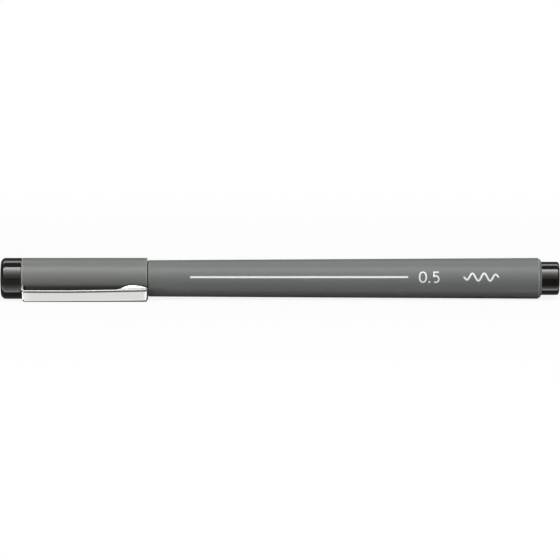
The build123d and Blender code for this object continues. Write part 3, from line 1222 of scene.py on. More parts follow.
    def edge_profile(self, tip: Array, leg: Array, low: Array) -> tuple[Array, Array]:
        """The edge between face and side: a bevel with small roundings, which turns into one arc at the tip.

        Args:
            tip: How far each place of the rim belongs to the tip, from 0 to 1.
            leg: How far it belongs to the leg, where the bevel is smaller.
            low: How far it belongs to the side that lies lower, where the bevel is flatter.

        Returns:
            Distances in from the rim and depths below the face.
        """
        across, deep = self.bevel_across, self.bevel_depth
        corners = [
            Corner(across + self.bevel_lead, 0.0),
            Corner(across, 0.0, self.bevel_round),
            Corner(0.0, deep, self.bevel_round),
            Corner(0.0, deep + self.bevel_lead),
        ]
        bevel = Outline(corners, closed=False)
        bevel_in, bevel_depth = bevel.x[1:-1], bevel.r[1:-1]
        turned = np.linspace(0.0, math.radians(90.0 - self.tip_lean), len(bevel_in))
        arc_in = self.tip_fold * (np.sin(turned[-1]) - np.sin(turned))
        arc_depth = self.tip_fold * (1.0 - np.cos(turned))
        left = (1.0 - tip) * (1.0 - (1.0 - self.leg_bevel) * leg)
        wider = 1.0 + (self.lower_across / across - 1.0) * low
        deeper = 1.0 + (self.lower_depth / deep - 1.0) * low
        return left * wider * bevel_in + tip * arc_in, left * deeper * bevel_depth + tip * arc_depth

    def section(self, drop: Array, tip: Array, leg: Array, low: Array) -> Array:
        """The closed section at each place of the rim.

        It goes from the spine over the face, round the bevel, down the side, round the lower rim, up inside
        and back along the underside to the spine.

        Args:
            drop: Depth of the lower rim there.
            tip: How far each place belongs to the tip, from 0 to 1.
            leg: How far each place belongs to the leg, from 0 to 1.
            low: How far each place belongs to the side that lies lower, from 0 to 1.

        Returns:
            Distance in from the rim, depth below the face, share of the way to the spine, share of sheared
            edge and share of inner side, for each place and each point of the section.
        """
        t, e, i, slack = self.thickness, self.rim_round, self.inner_fold, self.fold_slack
        drop, tip, leg, low = (part[:, None] for part in (drop, tip, leg, low))
        edge_in, edge_depth = self.edge_profile(tip, leg, low)
        fold = edge_depth[:, -1:]
        over, under = np.minimum(e, (drop - t) / 2.0), np.minimum(i, (drop - t) / 2.0)
        spine = np.array([self.spine_shares])
        round_points, side_points, wall_points, foot_points = self.section_points
        quarter = np.linspace(0.0, math.pi / 2.0, round_points)[None, :]
        sine, rest = np.sin(quarter), 1.0 - np.cos(quarter)
        side = fold + (drop - e - fold) * np.linspace(0.0, 1.0, side_points)[None, 1:-1]
        wall = np.linspace(0.0, 1.0, wall_points)[None, 1:-1]
        foot = np.linspace(e, t - e, foot_points)[None, 1:-1]
        rise = (drop - over) * (1.0 - wall) + (t + under) * wall
        stretches = (
            (edge_in[:, :1], 0.0, spine, 0.0, 0.0),
            (edge_in, edge_depth, 0.0, 0.0, 0.0),
            (0.0, side, 0.0, 1.0, 0.0),
            (e * rest, drop - e + e * sine, 0.0, 1.0, 0.0),
            (foot, drop, 0.0, 1.0, 0.0),
            (t - e + (e - slack) * sine, drop - over * rest, 0.0, 0.0, 0.0),
            (t - slack + 2.0 * slack * wall, rise, 0.0, 0.0, 1.0),
            (t + slack + (i - slack) * rest, t + under * (1.0 - sine), 0.0, 0.0, 1.0),
            (t + i, t, spine[:, ::-1], 0.0, 1.0),
        )
        whole = [np.stack(np.broadcast_arrays(*stretch, drop)[:-1]) for stretch in stretches]
        inset, depth, inward, cut, inner = np.concatenate(whole, axis=2)
        dull = np.maximum(unit((drop - self.rim_depth) / self.ear_blend), leg)
        cut = cut * (1.0 - tip) * (self.arm_cut + (1.0 - self.arm_cut) * dull)
        lean = np.clip(drop - e - depth, 0.0, drop - e - fold) * math.tan(math.radians(self.tip_lean))
        below = depth - self.flare_depth
        level = np.hypot(self.flare_depth, self.flare_round) - self.flare_depth
        spread = (np.hypot(below, self.flare_round) + below - level) / 2.0
        spread = spread * math.tan(math.radians(self.flare)) * (1.0 - tip)
        inset = inset + lean * tip - np.maximum(spread, 0.0)
        return np.stack((inset, depth, inward, cut, inner * (1.0 - leg)))

    def build(self) -> Piece:
        """The strip: a closed section at each place of the rim, bent with the blank, skewed and widened.

        Returns:
            The piece.
        """
        toe_bend, leg, root, tip = self.runs()[1:]
        signs = (1.0, -1.0, 1.0, -1.0, 1.0, -1.0)
        s, v, out_s, out_v, in_s, in_v = (
            np.concatenate((part, sign * part[-2:0:-1]))[:, None]
            for part, sign in zip(self.half_rim(), signs)
        )
        spine = np.clip(s, self.toe_half_width, tip - self.half_width - self.tip_widening)
        x_rim, _ = self.bent(s, np.zeros_like(s))
        drop = np.where(s > root, self.ear_depth(x_rim), self.thickness)
        at_tip, at_leg, low = unit(out_s), unit((root - s) / (root - leg)), unit(-v / self.toe_half_width)
        places = (part[:, 0] for part in (drop, at_tip, at_leg, low))
        inset, depth, inward, cut, inner = self.section(*places)
        first, second = np.minimum(inset, self.corner), np.maximum(inset - self.corner, 0.0)
        rim_s = s - first * out_s - second * in_s
        rim_v = v - first * out_v - second * in_v
        flat_s = rim_s + (spine - rim_s) * inward
        flat_v = rim_v * (1.0 - inward)
        x, z = self.bent(flat_s, depth)
        lower = unit((self.half_width - flat_v) / (2.0 * self.half_width))
        past_toe = unit((flat_s - toe_bend) / (leg - toe_bend))
        reaches = self.skew_reach, self.root_reach
        skewed, widened = (unit(1.0 - (flat_s - root) / reach) for reach in reaches)
        x = x + self.root_skew * lower * past_toe * skewed
        wider = self.upper_widening * self.taper(flat_s) + self.root_widening * past_toe**2 * widened
        on_bend = unit(1.0 - np.abs(flat_s - (leg + root) / 2.0) / (root - leg)) * (flat_s > toe_bend)
        on_tip = at_tip * (1.0 - inward) ** self.tip_brightening
        brightened = np.maximum(on_bend, on_tip) * (depth < self.tip_fold)
        points = np.stack((x, flat_v + wider * (1.0 - lower), z), axis=-1)
        return grid_piece("clip_strip", points, True, False, {"edge": brightened, "cut": cut, "inner": inner})

    def make(self) -> None:
        """Builds and dresses the clip."""
        settle(self.build(), CLIP_STEEL, Body.CLIP, "pocket_clip")


# The front section with the nib


@dataclass(frozen=True)
class FrontSection:
    """The black section under the cap with the steel sleeve and the nib, in millimetres."""

    nib_tip: float = 9.1  # place of the nib's point
    sleeve_tip: float = 10.0  # where the steel sleeve starts
    nose: float = 14.3  # where the section's nose starts
    cone: float = 15.6  # where the cone starts
    sleeve_end: float = 17.3  # where the steel sleeve ends
    grip: float = 21.4  # where the grip starts
    collar: float = 31.3  # where the collar starts
    shoulder: float = 37.42  # where the barrel starts
    spigot_end: float = 46.3  # where the spigot in the barrel ends
    nose_front: float = 1.15  # radius of the nose's front
    nose_back: float = 1.5  # radius of the nose's back
    nose_round: float = 0.15
    cone_round: float = 0.6
    grip_radius: float = 3.8
    grip_round: float = 1.2  # rounding between cone and grip
    collar_radius: float = 4.05  # radius of the collar between its beads
    collar_rounds: Span = (0.12, 0.08)  # roundings at the foot and the top of its step
    bead_radius: float = 4.19
    bead_leads: Span = (0.7, 1.5)  # from the collar's start to the first bead, from the last to the shoulder
    bead_length: float = 0.8
    bead_slope: float = 0.12  # length of a bead's slopes
    bead_rounds: Span = (0.05, 0.09)  # roundings at a bead's feet and top
    spigot_radius: float = 3.6
    spigot_round: float = 0.2
    groove: float = 0.35  # depth of the spigot's air groove, and half of its width
    wick_bore: float = 0.92  # radius of the wick's bore
    sleeve_bore: float = 0.66  # radius of the bore for the steel sleeve
    sleeve_radius: float = 0.64
    sleeve_wall: float = 0.2  # wall at the sleeve's mouth
    sleeve_rounds: tuple[float, ...] = (0.03, 0.1, 0.5)  # roundings inside and outside the mouth, and behind
    crimp: float = 1.3  # length of the sleeve's narrow front
    play: float = 0.02  # clearance between nib and sleeve
    rod_radius: float = 0.42  # radius of the nib's rod
    point_radius: float = 0.25  # radius of the nib's point
    point_round: float = 0.2
    nib_rounds: Span = (0.05, 0.1)  # roundings of the nib's ends, and of its rod's start
    columns: tuple[int, ...] = (144, 96, 64)  # columns round the section, the sleeve and the nib

    def build_section(self) -> Piece:
        """The section, turned, with two rounded beads on its collar and an air groove along its spigot.

        Returns:
            The piece.
        """
        foot, top = self.bead_rounds
        slope, length = self.bead_slope, self.bead_length
        bead = (
            (0.0, self.collar_radius, foot),
            (slope, self.bead_radius, top),
            (length - slope, self.bead_radius, top),
            (length, self.collar_radius, foot),
        )
        starts = self.collar + self.bead_leads[0], self.shoulder - self.bead_leads[1]
        corners = [
            Corner(self.nose, self.sleeve_bore),
            Corner(self.nose, self.nose_front, self.nose_round),
            Corner(self.cone, self.nose_back, self.cone_round),
            Corner(self.grip, self.grip_radius, self.grip_round),
            Corner(self.collar, self.grip_radius, self.collar_rounds[0]),
            Corner(self.collar, self.collar_radius, self.collar_rounds[1]),
            *(Corner(start + x, radius, rounding) for start in starts for x, radius, rounding in bead),
            Corner(self.shoulder, self.collar_radius),
            Corner(self.shoulder, self.spigot_radius),
            Corner(self.spigot_end, self.spigot_radius, self.spigot_round),
            Corner(self.spigot_end, self.wick_bore),
            Corner(self.sleeve_end, self.wick_bore),
            Corner(self.sleeve_end, self.sleeve_bore),
        ]
        radius, deep = self.spigot_radius, self.groove
        groove = Flat(self.shoulder, self.spigot_end, deep, radius - deep, radius)
        return TurnedForm(corners, columns=self.columns[0], flats=[groove]).piece("grip_front")

    def build_sleeve(self) -> Piece:
        """The steel sleeve, turned, rounded over towards its crimped mouth.

        Returns:
            The piece.
        """
        crimp = self.sleeve_tip + self.crimp
        mouth, bore = self.point_radius + self.play, self.rod_radius + self.play
        inside, outside, behind = self.sleeve_rounds
        corners = [
            Corner(self.sleeve_tip, mouth, inside),
            Corner(self.sleeve_tip, mouth + self.sleeve_wall, outside),
            Corner(crimp, self.sleeve_radius, behind),
            Corner(self.sleeve_end, self.sleeve_radius),
            Corner(self.sleeve_end, bore),
            Corner(crimp, bore),
        ]
        return TurnedForm(corners, columns=self.columns[1]).piece("nib_tube")

    def build_nib(self) -> Piece:
        """The nib, turned: a round point on a rod.

        Returns:
            The piece.
        """
        end_round, rod_round = self.nib_rounds
        corners = [
            Corner(self.nib_tip, 0.0),
            Corner(self.nib_tip, self.point_radius, self.point_round),
            Corner(self.sleeve_tip, self.point_radius, end_round),
            Corner(self.sleeve_tip + self.crimp, self.rod_radius, rod_round),
            Corner(self.sleeve_end, self.rod_radius, end_round),
            Corner(self.sleeve_end, 0.0),
        ]
        return TurnedForm(corners, closed=False, columns=self.columns[2]).piece("nib_point")

    def make(self) -> None:
        """Builds and dresses the section, the sleeve and the nib."""
        settle(self.build_section(), SECTION, Body.PEN, "grip_section")
        settle(self.build_sleeve(), NIB_STEEL, Body.PEN, "nib_sleeve")
        settle(self.build_nib(), NIB_PLASTIC, Body.PEN, "nib")


# The barrel


@dataclass(frozen=True)
class Barrel:
    """The tapered barrel, its rear plug and the ink store inside, in millimetres."""

    front: float = 37.42  # where the barrel starts
    chamfer: float = 136.36  # where its rear chamfer starts
    end: float = 137.28  # where it ends
    rear: float = 142.0  # where the plug ends
    front_radius: float = 4.62  # radius at the front
    front_bevel: float = 0.3  # bevel at the front
    # The edge marks below lighten rims and facets, partly as rubbed wear and partly as painted highlight
    # bands.
    front_edge: Span = (0.15, 0.3)  # rounding of that bevel and its edge mark
    taper_lead: float = 0.2  # how far behind the front the printed marks' taper starts
    rear_radius: float = 5.175  # radius at the rear chamfer
    chamfer_round: float = 0.12
    knee: Span = (0.64, 0.4)  # place and depth of the edge between the chamfer's facets
    knee_round: float = 0.3
    first_facet: tuple[Span, ...] = ((0.1, 0.6), (0.3, 0.6), (0.53, 0.6), (0.66, 0.0))  # shares and marks
    second_facet: tuple[Span, ...] = ((0.3, 0.0), (0.5, 0.8))
    rim_radius: float = 4.27  # radius at the end of the chamfer
    rim_edge: Span = (0.12, 0.8)  # rounding there and its edge mark
    bore: float = 3.62  # radius of the bore
    plug_bore: float = 4.01  # radius of the bore for the plug
    plug_start: float = 129.28  # where the plug's spigot starts
    rib_start: float = 46.4  # where the ribs in the bore start
    rib_height: float = 3.2  # distance of the ribs' tops from the axis
    rib_half_width: float = 0.4
    post: float = 4.22  # radius of the plug's free length
    spigot: float = 3.99  # radius of the plug's spigot
    spigot_round: float = 0.3
    core: float = 2.3  # radius of the plug's core
    core_end: float = 140.6  # where the core ends
    core_rounds: Span = (0.2, 0.1)  # roundings of the core's end and mouth
    dome: float = 0.26  # rise of the plug's rounded end
    dome_edge: float = 0.62  # rounding between that end and the plug's side

    def radius_at(self, x: Array) -> Array:
        """Outer radius of the barrel's taper, which grows evenly along the axis."""
        start, growth = self.front + self.taper_lead, self.rear_radius - self.front_radius
        return self.front_radius + growth * (x - start) / (self.chamfer - start)

    @staticmethod
    def facet(start: Corner, end: Corner, marks: Sequence[Span]) -> list[Corner]:
        """Points on the facet between two corners, each with its share of the way and its edge mark."""
        x, r = end.x - start.x, end.r - start.r
        return [Corner(start.x + x * share, start.r + r * share, 0.0, mark) for share, mark in marks]

    def build_tube(self) -> Piece:
        """The barrel, turned, with rounded rims, a chamfer of two facets and four ribs along its bore.

        Returns:
            The piece.
        """
        first = Corner(self.chamfer, self.rear_radius, self.chamfer_round, 0.0)
        second = Corner(first.x + self.knee[0], first.r - self.knee[1], self.knee_round, 0.0)
        last = Corner(self.end, self.rim_radius, *self.rim_edge)
        start, end = self.rib_start, self.plug_start
        form = TurnedForm(
            [
                Corner(self.front, self.bore),
                Corner(self.front, self.front_radius - self.front_bevel),
                Corner(self.front + self.front_bevel, self.front_radius, *self.front_edge),
                first,
                *self.facet(first, second, self.first_facet),
                second,
                *self.facet(second, last, self.second_facet),
                last,
                Corner(self.end, self.plug_bore),
                Corner(end, self.plug_bore),
                Corner(end, self.bore),
            ],
            flats=[
                Flat(start, end, self.rib_half_width, self.rib_height, self.bore, turn)
                for turn in (0.0, 90.0, 180.0, 270.0)
            ],
            stations=(start - WALL, start + WALL),
        )
        return form.piece("barrel_tube")

    def build_plug(self) -> Piece:
        """The black rear plug, turned, with a domed end and a hollow core.

        Returns:
            The piece.
        """
        inward = domed_end(self.post, self.dome, self.dome_edge)
        corners = [
            Corner(self.core_end, 0.0),
            Corner(self.core_end, self.core, self.core_rounds[0]),
            Corner(self.plug_start, self.core, self.core_rounds[1]),
            Corner(self.plug_start, self.spigot, self.spigot_round),
            Corner(self.end, self.spigot),
            Corner(self.end, self.post),
            *(Corner(self.rear - c.x, c.r, c.rounding, c.worn_and_lit) for c in reversed(inward)),
        ]
        return TurnedForm(corners, closed=False).piece("rear_post")

    def make(self) -> None:
        """Builds and dresses the barrel and its plug, and dresses the ink store inside."""
        settle(self.build_tube(), BARREL_GREY, Body.PEN, "barrel")
        settle(self.build_plug(), BLACK, Body.PEN, "rear_plug")
        for node, finish in (("feed_wick", FIBRE), ("ink_reservoir", FIBRE), ("reservoir_film", FILM)):
            finish.dress(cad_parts[node])


# Marks printed on the barrel


@dataclass(frozen=True)
class PrintedMarks:
    """Plain marks in white ink, in millimetres along and round the barrel that carries them."""

    barrel: Barrel = field(default_factory=Barrel)
    middle: float = 39.7  # direction of the marks' middle line round the axis, in degrees from the clip's
    ink: float = 0.012  # height of the ink over the barrel
    sink: float = 0.02  # depth of the ink's foot in the barrel
    line: Span = (48.3, 103.4)  # ends of the long line
    line_width: float = 0.5
    digit_height: float = 2.9
    stroke: float = 0.38  # width of the digits' strokes
    zero_x: float = 107.15  # middle of the digit 0
    zero_half: float = 1.03  # half of its width
    zero_powers: Span = (2.3, 2.1)  # powers of its outer and inner superellipse
    zero_thin: float = 0.92  # width of its top and bottom, as a share of the stroke
    dot_x: float = 108.76  # middle of the point
    dot_share: float = 1.15  # its side, as a share of the stroke
    dot_rise: float = 0.22  # height of its middle over the digits' foot
    five_x: float = 110.46  # middle of the digit 5
    five_bar: Span = (0.68, -0.5)  # ends of its bar
    five_stem: Span = (-0.56, 0.2)  # end of its stem
    five_bowl: Span = (0.72, 0.82)  # half width and half height of its bowl
    five_middle: Span = (-0.02, -0.52)  # middle of its bowl
    five_sweep: Span = (122.0, -128.0)  # first and last angle of its bowl
    wave_x: float = 121.9  # middle of the wavy sample stroke
    wave_length: float = 9.0  # length of that stroke
    wave_count: float = 3.0  # number of its waves
    wave_height: float = 0.95  # half of their height
    wave_fade: int = 6  # power by which they fade towards its ends
    wave_width: float = 0.46  # width of that stroke
    path_points: tuple[int, ...] = (120, 6, 140)  # along the line, the point and the wave
    five_points: tuple[int, ...] = (8, 6, 40)  # along its bar, its stem and its bowl
    section_shares: tuple[float, ...] = (0.0, 0.0, 0.25, 0.5, 0.75, 1.0, 1.0, 0.5)  # points across a stroke

    def wrap(self, x: Array, y: Array, height: Array) -> Array:
        """Lays flat points on the barrel: y becomes an arc round the axis at the barrel's radius there.

        Args:
            x: Places along the axis.
            y: Places up from the marks' middle line.
            height: Heights over the barrel.

        Returns:
            Pen coordinates.
        """
        radius = self.barrel.radius_at(x)
        angle, reach = math.radians(self.middle) + y / radius, radius + height
        return np.stack((x, reach * np.sin(angle), reach * np.cos(angle)), axis=-1)

    def ribbon(self, name: str, left: Array, right: Array, closed: bool) -> Piece:
        """A flat stroke of ink between two lines: its foot lies in the barrel and its top over it.

        Args:
            name: The piece's name.
            left: Flat points of one side, two in the last axis.
            right: Flat points of the other side.
            closed: Whether the stroke returns to its start.

        Returns:
            The piece.
        """
        shares = np.array(self.section_shares)[None, :, None]
        heights = np.array([-self.sink, *[self.ink] * 5, -self.sink, -self.sink])
        flat = left[:, None, :] * (1.0 - shares) + right[:, None, :] * shares
        tall = np.tile(heights, (len(flat), 1))
        if not closed:
            ends = [np.broadcast_to(end.mean(0), end.shape)[None] for end in (flat[0], flat[-1])]
            foot = np.full((1, len(heights)), -self.sink)
            flat, tall = np.concatenate((ends[0], flat, ends[1])), np.concatenate((foot, tall, foot))
        return grid_piece(name, self.wrap(flat[..., 0], flat[..., 1], tall), closed, True)

    def stroke_piece(self, name: str, x: Array, y: Array, width: float) -> Piece:
        """A stroke of even width along a path, with mitred corners.

        Args:
            name: The piece's name.
            x: Places of the stroke's middle along the axis.
            y: Its places up from the marks' middle line.
            width: The stroke's width.

        Returns:
            The piece.
        """
        path = np.stack((x, y), axis=-1)
        step = np.diff(path, axis=0)
        step /= np.linalg.norm(step, axis=1, keepdims=True)
        normal = np.stack((-step[:, 1], step[:, 0]), axis=-1)
        before, after = np.concatenate((normal[:1], normal)), np.concatenate((normal, normal[-1:]))
        mitre = (before + after) / (1.0 + np.sum(before * after, axis=1, keepdims=True))
        offset = mitre * width / 2.0
        return self.ribbon(name, path + offset, path - offset, closed=False)

    @staticmethod
    def oval(centre: float, half: Span, power: float) -> Array:
        """Points of a superellipse: the cosine and sine of an even angle, each to the power 2 / power.

        Args:
            centre: Place of its middle along the axis.
            half: Half of its width and of its height.
            power: Its power.

        Returns:
            Flat points.
        """
        t = np.linspace(0.0, 2.0 * math.pi, OVAL_POINTS, endpoint=False)
        wave = np.stack((np.cos(t), np.sin(t)), axis=-1)
        return np.array([centre, 0.0]) + np.array(half) * np.sign(wave) * np.abs(wave) ** (2.0 / power)

    def five(self) -> tuple[Array, Array]:
        """Middle line of the digit 5: a bar, a short stem, and a bowl that is an open arc.

        Returns:
            Its places along the axis and up from the marks' middle line.
        """
        top = self.digit_height / 2.0 - self.stroke / 2.0
        on_bar, on_stem, on_bowl = self.five_points
        t = np.radians(np.linspace(*self.five_sweep, on_bowl))
        stem_x = np.linspace(self.five_bar[1], self.five_stem[0], on_stem)[1:]
        stem_y = np.linspace(top, self.five_stem[1], on_stem)[1:]
        bowl_x = self.five_middle[0] + self.five_bowl[0] * np.cos(t)
        bowl_y = self.five_middle[1] + self.five_bowl[1] * np.sin(t)
        x = np.concatenate((np.linspace(*self.five_bar, on_bar), stem_x, bowl_x))
        return self.five_x + x, np.concatenate((np.full(on_bar, top), stem_y, bowl_y))

    def make(self) -> None:
        """Builds and dresses the marks: a long line, the digits and a wavy sample stroke."""
        high, width = self.digit_height / 2.0, self.stroke
        on_line, on_dot, on_wave = self.path_points
        along = np.linspace(*self.line, on_line)
        dot = np.linspace(-0.5, 0.5, on_dot) * width * self.dot_share
        wave = np.linspace(-0.5, 0.5, on_wave)
        waves = np.sin(wave * 2.0 * math.pi * self.wave_count) * (1.0 - (2.0 * wave) ** self.wave_fade)
        insides = (0.0, 0.0), (width, self.zero_thin * width)
        zero = [
            self.oval(self.zero_x, (self.zero_half - side, high - end), power)
            for (side, end), power in zip(insides, self.zero_powers)
        ]
        strokes = self.stroke_piece
        for piece in (
            strokes("print_line", along, np.zeros_like(along), self.line_width),
            self.ribbon("print_zero", *zero, closed=True),
            strokes("print_dot", self.dot_x + dot, 0.0 * dot - high + self.dot_rise, self.dot_share * width),
            strokes("print_five", *self.five(), width),
            strokes(
                "print_wave", self.wave_x + wave * self.wave_length, self.wave_height * waves, self.wave_width
            ),
        ):
            settle(piece, WHITE_INK, Body.PEN)


# The studio


class Lights(Enum):
    """What a lamp lights."""

    ALL = "all"
    GLOSS = "gloss"
    MATT = "matt"


@dataclass(frozen=True)
class Panel:
    """A soft rectangular lamp that faces the pen, with elevations from the front over the top to the back."""

    name: str
    low: float  # elevation of its lower edge seen from the pen, in degrees
    high: float  # elevation of its upper edge
    radiance: float  # its brightness, where 1 is white
    lights: Lights = Lights.ALL
    length: float = 1.4  # its length along the pen in metres
    distance: float = 0.8  # its distance in metres

    def make(self) -> None:
        """Adds the lamp. A flat lamp's power is its radiance times pi times its area."""
        half, rise = math.radians(self.high - self.low) / 2.0, math.radians(self.low + self.high) / 2.0
        height = 2.0 * self.distance * math.tan(half)
        lamp = bpy.data.lights.new(self.name, "AREA")
        lamp.shape = "RECTANGLE"
        lamp.size, lamp.size_y = self.length, height
        lamp.energy = self.radiance * math.pi * self.length * height
        holder = linked(self.name, lamp)
        toward = Vector((0.0, -math.cos(rise), math.sin(rise)))
        holder.location = toward * self.distance
        holder.rotation_euler = toward.to_track_quat("Z", "Y").to_euler()
        holder.visible_camera = False
        holder.visible_glossy = self.lights is not Lights.MATT
        holder.visible_diffuse = self.lights is not Lights.GLOSS


@dataclass(frozen=True)
class Studio:
    """The pale floor, the white room, the soft lamps and the camera at the photograph's angle, in metres."""

    lens: float = 300.0  # focal length in millimetres
    sensor: float = 36.0  # sensor width in millimetres
    span: float = 559.14  # length of the pen in the image, in pixels
    axis_rise: float = 1.65  # how far the pen's axis lies over the image's middle, in pixels
    elevation: float = 7.92  # the camera's angle above the horizon, in degrees
    depth_range: Span = (0.01, 100.0)  # distances between which the camera sees
    floor_half: float = 6.0  # half of the floor's side
    floor_tone: float = 0.92  # colour of the matt floor where it is seen
    bounce_tone: float = 0.385  # its colour to matt surfaces
    room_light: float = 0.07  # brightness of the room on the pen
    horizon: Span = (0.01, 0.04)  # heights between which the room behind dims from white in gloss
    contact: Span = (0.00905, 0.00935)  # distances where the painted shadow under and behind the pen ends in gloss
    contact_tone: float = 0.08  # the floor's brightness in that painted shadow
    contact_back: float = 0.0044  # how far behind the pen the line lies that it is measured from
    clip_contact: Triple = (-0.066, -0.029, 0.00165)  # the clip's ends, and how much further it goes there
    plug_start: float = 0.0665  # where the rear plug starts
    plug_contact: float = 0.00125  # how much less far that dark goes there
    pool_reach: float = 0.0067  # distance from the pen at which the painted pool of light on the floor is white in gloss
    pool_fall: float = 2.3  # power by which it fades with distance
    pool_range: Span = (0.15, 2.0)  # its least and greatest brightness
    plug_pool: Triple = (0.0018, 3.2, -0.11)  # changes of distance, power and least at the rear plug
    # Even painted light along the clip and past its tip: its ends and its brightness
    clip_pools: tuple[Triple, ...] = ((-0.066, -0.0332, 0.9), (-0.0334, -0.03, 1.6))
    clip_pool_reach: Span = (0.0095, 0.012)  # distances between which those fade
    shadow_reach: Span = (0.06, 0.25)  # distances between which the pen's shadow fades out
    shadow_least: float = 0.86  # share of plain white in the floor near the pen
    panels: tuple[Panel, ...] = (
        Panel("key_1", 65.0, 73.0, 5.7),
        Panel("key_2", 56.0, 65.0, 4.5),
        Panel("key_3", 47.0, 56.0, 2.6),
        Panel("key_4", 36.0, 47.0, 1.4),
        Panel("key_5", 27.0, 36.0, 0.68),
        Panel("key_6", 18.0, 27.0, 0.4),
        Panel("key_7", 8.0, 18.0, 0.25, Lights.GLOSS),
        Panel("top_strip", 107.0, 124.0, 1.75, Lights.GLOSS, length=1.1),
        Panel("front_fill", 20.0, 50.0, 0.4, Lights.MATT),
        Panel("back_fill", 156.0, 178.0, 3.4, Lights.MATT),
    )

    def make_camera(self) -> None:
        """Adds the camera: its distance makes the pen's length fill the measured span of the image."""
        data = bpy.data.cameras.new("camera")
        data.lens, data.sensor_width, data.sensor_fit = self.lens, self.sensor, "HORIZONTAL"
        data.clip_start, data.clip_end = self.depth_range
        camera = linked("camera", data)
        width = 2.0 * PEN_FRAME.half_length * MM * IMAGE_SIDE / self.span
        tilt = math.radians(self.elevation)
        back = Vector((0.0, -math.cos(tilt), math.sin(tilt)))
        up = Vector((0.0, math.sin(tilt), math.cos(tilt)))
        axis = Vector((0.0, PEN_FRAME.side_shift, PEN_FRAME.axis_height)) * MM
        middle = axis - up * (self.axis_rise * width / IMAGE_SIDE)
        camera.location = middle + back * (width * self.lens / self.sensor)
        camera.rotation_euler = back.to_track_quat("Z", "Y").to_euler()
        bpy.context.scene.camera = camera

    @staticmethod
    def between(sheet: NodeSheet, start: float, end: float) -> Socket:
        """1 on the floor between two places along the pen, and 0 elsewhere."""
        x = sheet.parts(sheet.place())[0]
        return sheet.math("SUBTRACT", *(sheet.math("GREATER_THAN", x, place) for place in (start, end)))

    def at_plug(self, sheet: NodeSheet, value: Value, change: float) -> Socket:
        """A value with a change added along the rear plug and beyond."""
        along = self.between(sheet, self.plug_start, self.floor_half)
        return sheet.math("MULTIPLY_ADD", along, change, value)

    @staticmethod
    def from_pen(sheet: NodeSheet, back: float) -> Socket:
        """Distance on the floor from a line along the pen.

        Args:
            sheet: The floor's nodes.
            back: How far the line lies behind the pen's axis, in metres.

        Returns:
            The distance in metres.
        """
        x, y, _ = sheet.parts(sheet.place())
        past = sheet.math("SUBTRACT", sheet.math("ABSOLUTE", x), PEN_FRAME.half_length * MM, clamp=True)
        across = sheet.math("SUBTRACT", y, PEN_FRAME.side_shift * MM + back)
        flat = sheet.add("CombineXYZ", past, across).outputs[0]
        return sheet.add("VectorMath", flat, operation="LENGTH").outputs["Value"]

    def from_contact(self, sheet: NodeSheet) -> Socket:
        """Distance from the line behind the pen, less at the clip and more at the rear plug.

        Args:
            sheet: The floor's nodes.

        Returns:
            The distance in metres.
        """
        first, last, further = self.clip_contact
        away = self.from_pen(sheet, self.contact_back)
        away = sheet.math("MULTIPLY_ADD", self.between(sheet, first, last), -further, away)
        return self.at_plug(sheet, away, self.plug_contact)

    def pool(self, sheet: NodeSheet, away: Socket) -> Socket:
        """Brightness of the painted pool of light on the floor in gloss: the reach over the distance, to a
        power, and even along the clip.

        Args:
            sheet: The floor's nodes.
            away: Distance from the pen in metres.

        Returns:
            The brightness.
        """
        further, steeper, dimmer = self.plug_pool
        least, most = self.pool_range
        near = sheet.math("DIVIDE", self.pool_reach, self.at_plug(sheet, away, further))
        fall = sheet.math("POWER", near, self.at_plug(sheet, self.pool_fall, steeper))
        level = sheet.add("Clamp", fall, self.at_plug(sheet, least, dimmer), most).outputs[0]
        for first, last, brightness in self.clip_pools:
            even = sheet.spread(away, brightness, 0.0, self.clip_pool_reach, smooth=True)
            even = sheet.math("MULTIPLY", self.between(sheet, first, last), even)
            level = sheet.math("MAXIMUM", level, even)
        return level

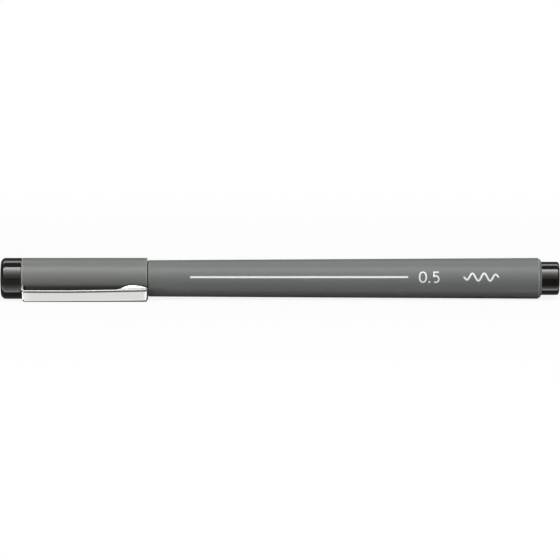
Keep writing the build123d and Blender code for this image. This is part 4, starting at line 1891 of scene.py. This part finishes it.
    def make_floor(self) -> None:
        """Adds the pale floor. To the camera it is near white and keeps the pen's soft shadow. In reflections
        it shows a painted pool of light beside the pen and a painted shadow under and behind it.
        """
        side = np.linspace(-self.floor_half, self.floor_half, FLOOR_POINTS)
        x, y = np.meshgrid(side, side, indexing="ij")
        points = np.stack((x, y, np.zeros_like(x)), axis=-1).reshape(-1, 3)
        mesh = bpy.data.meshes.new("floor")
        mesh.from_pydata(points, [], grid_faces(FLOOR_POINTS, FLOOR_POINTS, False, False))
        floor = linked("floor", mesh)
        material = bpy.data.materials.new("pale_floor")
        material.use_nodes = True
        nodes = material.node_tree.nodes
        nodes.remove(nodes["Principled BSDF"])
        sheet = NodeSheet(material.node_tree)
        away = self.from_pen(sheet, 0.0)
        tones, levels = (self.floor_tone, self.bounce_tone), (1.0, self.contact_tone, self.pool(sheet, away))
        matt, bounce = (sheet.add("BsdfDiffuse", (tone,) * 3).outputs[0] for tone in tones)
        white, dark, lit = (sheet.add("Emission", Strength=level).outputs[0] for level in levels)
        path = sheet.add("LightPath").outputs
        shown = sheet.math("MAXIMUM", path["Is Camera Ray"], path["Is Transmission Ray"])
        clear = sheet.spread(self.from_contact(sheet), 0.0, 1.0, self.contact, smooth=True)
        bounced = sheet.layer(path["Is Glossy Ray"], bounce, sheet.layer(clear, dark, lit))
        plain = sheet.spread(away, self.shadow_least, 1.0, self.shadow_reach, smooth=True)
        whole = sheet.layer(shown, bounced, sheet.layer(plain, matt, white))
        sheet.feed(nodes["Material Output"].inputs["Surface"], whole)
        mesh.materials.append(material)

    def make_room(self) -> None:
        """Sets the world: white to the camera, white only near the horizon in gloss, and dim on the pen."""
        world = bpy.data.worlds.new("white_room")
        bpy.context.scene.world = world
        world.use_nodes = True
        nodes = world.node_tree.nodes
        sheet = NodeSheet(world.node_tree)
        _, y, z = sheet.parts(sheet.add("TexCoord").outputs["Generated"])
        low, behind = sheet.spread(z, 1.0, 0.0, self.horizon), sheet.math("GREATER_THAN", y, 0.0)
        band = sheet.math("MULTIPLY_ADD", low, behind, self.room_light, clamp=True)
        path = sheet.add("LightPath").outputs
        camera, gloss, through = (path[f"Is {kind} Ray"] for kind in ("Camera", "Glossy", "Transmission"))
        levels = self.room_light, sheet.math("MAXIMUM", camera, band)
        dim, white = (sheet.add("Background", WHITE, level).outputs[0] for level in levels)
        seen = sheet.math("MAXIMUM", sheet.math("MAXIMUM", camera, gloss), through)
        sheet.feed(nodes["World Output"].inputs["Surface"], sheet.layer(seen, dim, white))
        nodes.remove(nodes["Background"])

    def make(self) -> None:
        """Builds the studio and sets the plain view transform."""
        bpy.context.scene.view_settings.view_transform = "Standard"
        self.make_room()
        self.make_floor()
        self.make_camera()
        for panel in self.panels:
            panel.make()


def main() -> None:
    """Builds the pen's sub-assemblies in order, then the studio."""
    logging.basicConfig(level=logging.INFO, format="%(name)s: %(message)s")
    for assembly in (Barrel(), FrontSection(), Cap(), PocketClip(), PrintedMarks(), Studio()):
        LOG.info("making %s", type(assembly).__name__)
        assembly.make()


if __name__ == "__main__":
    main()
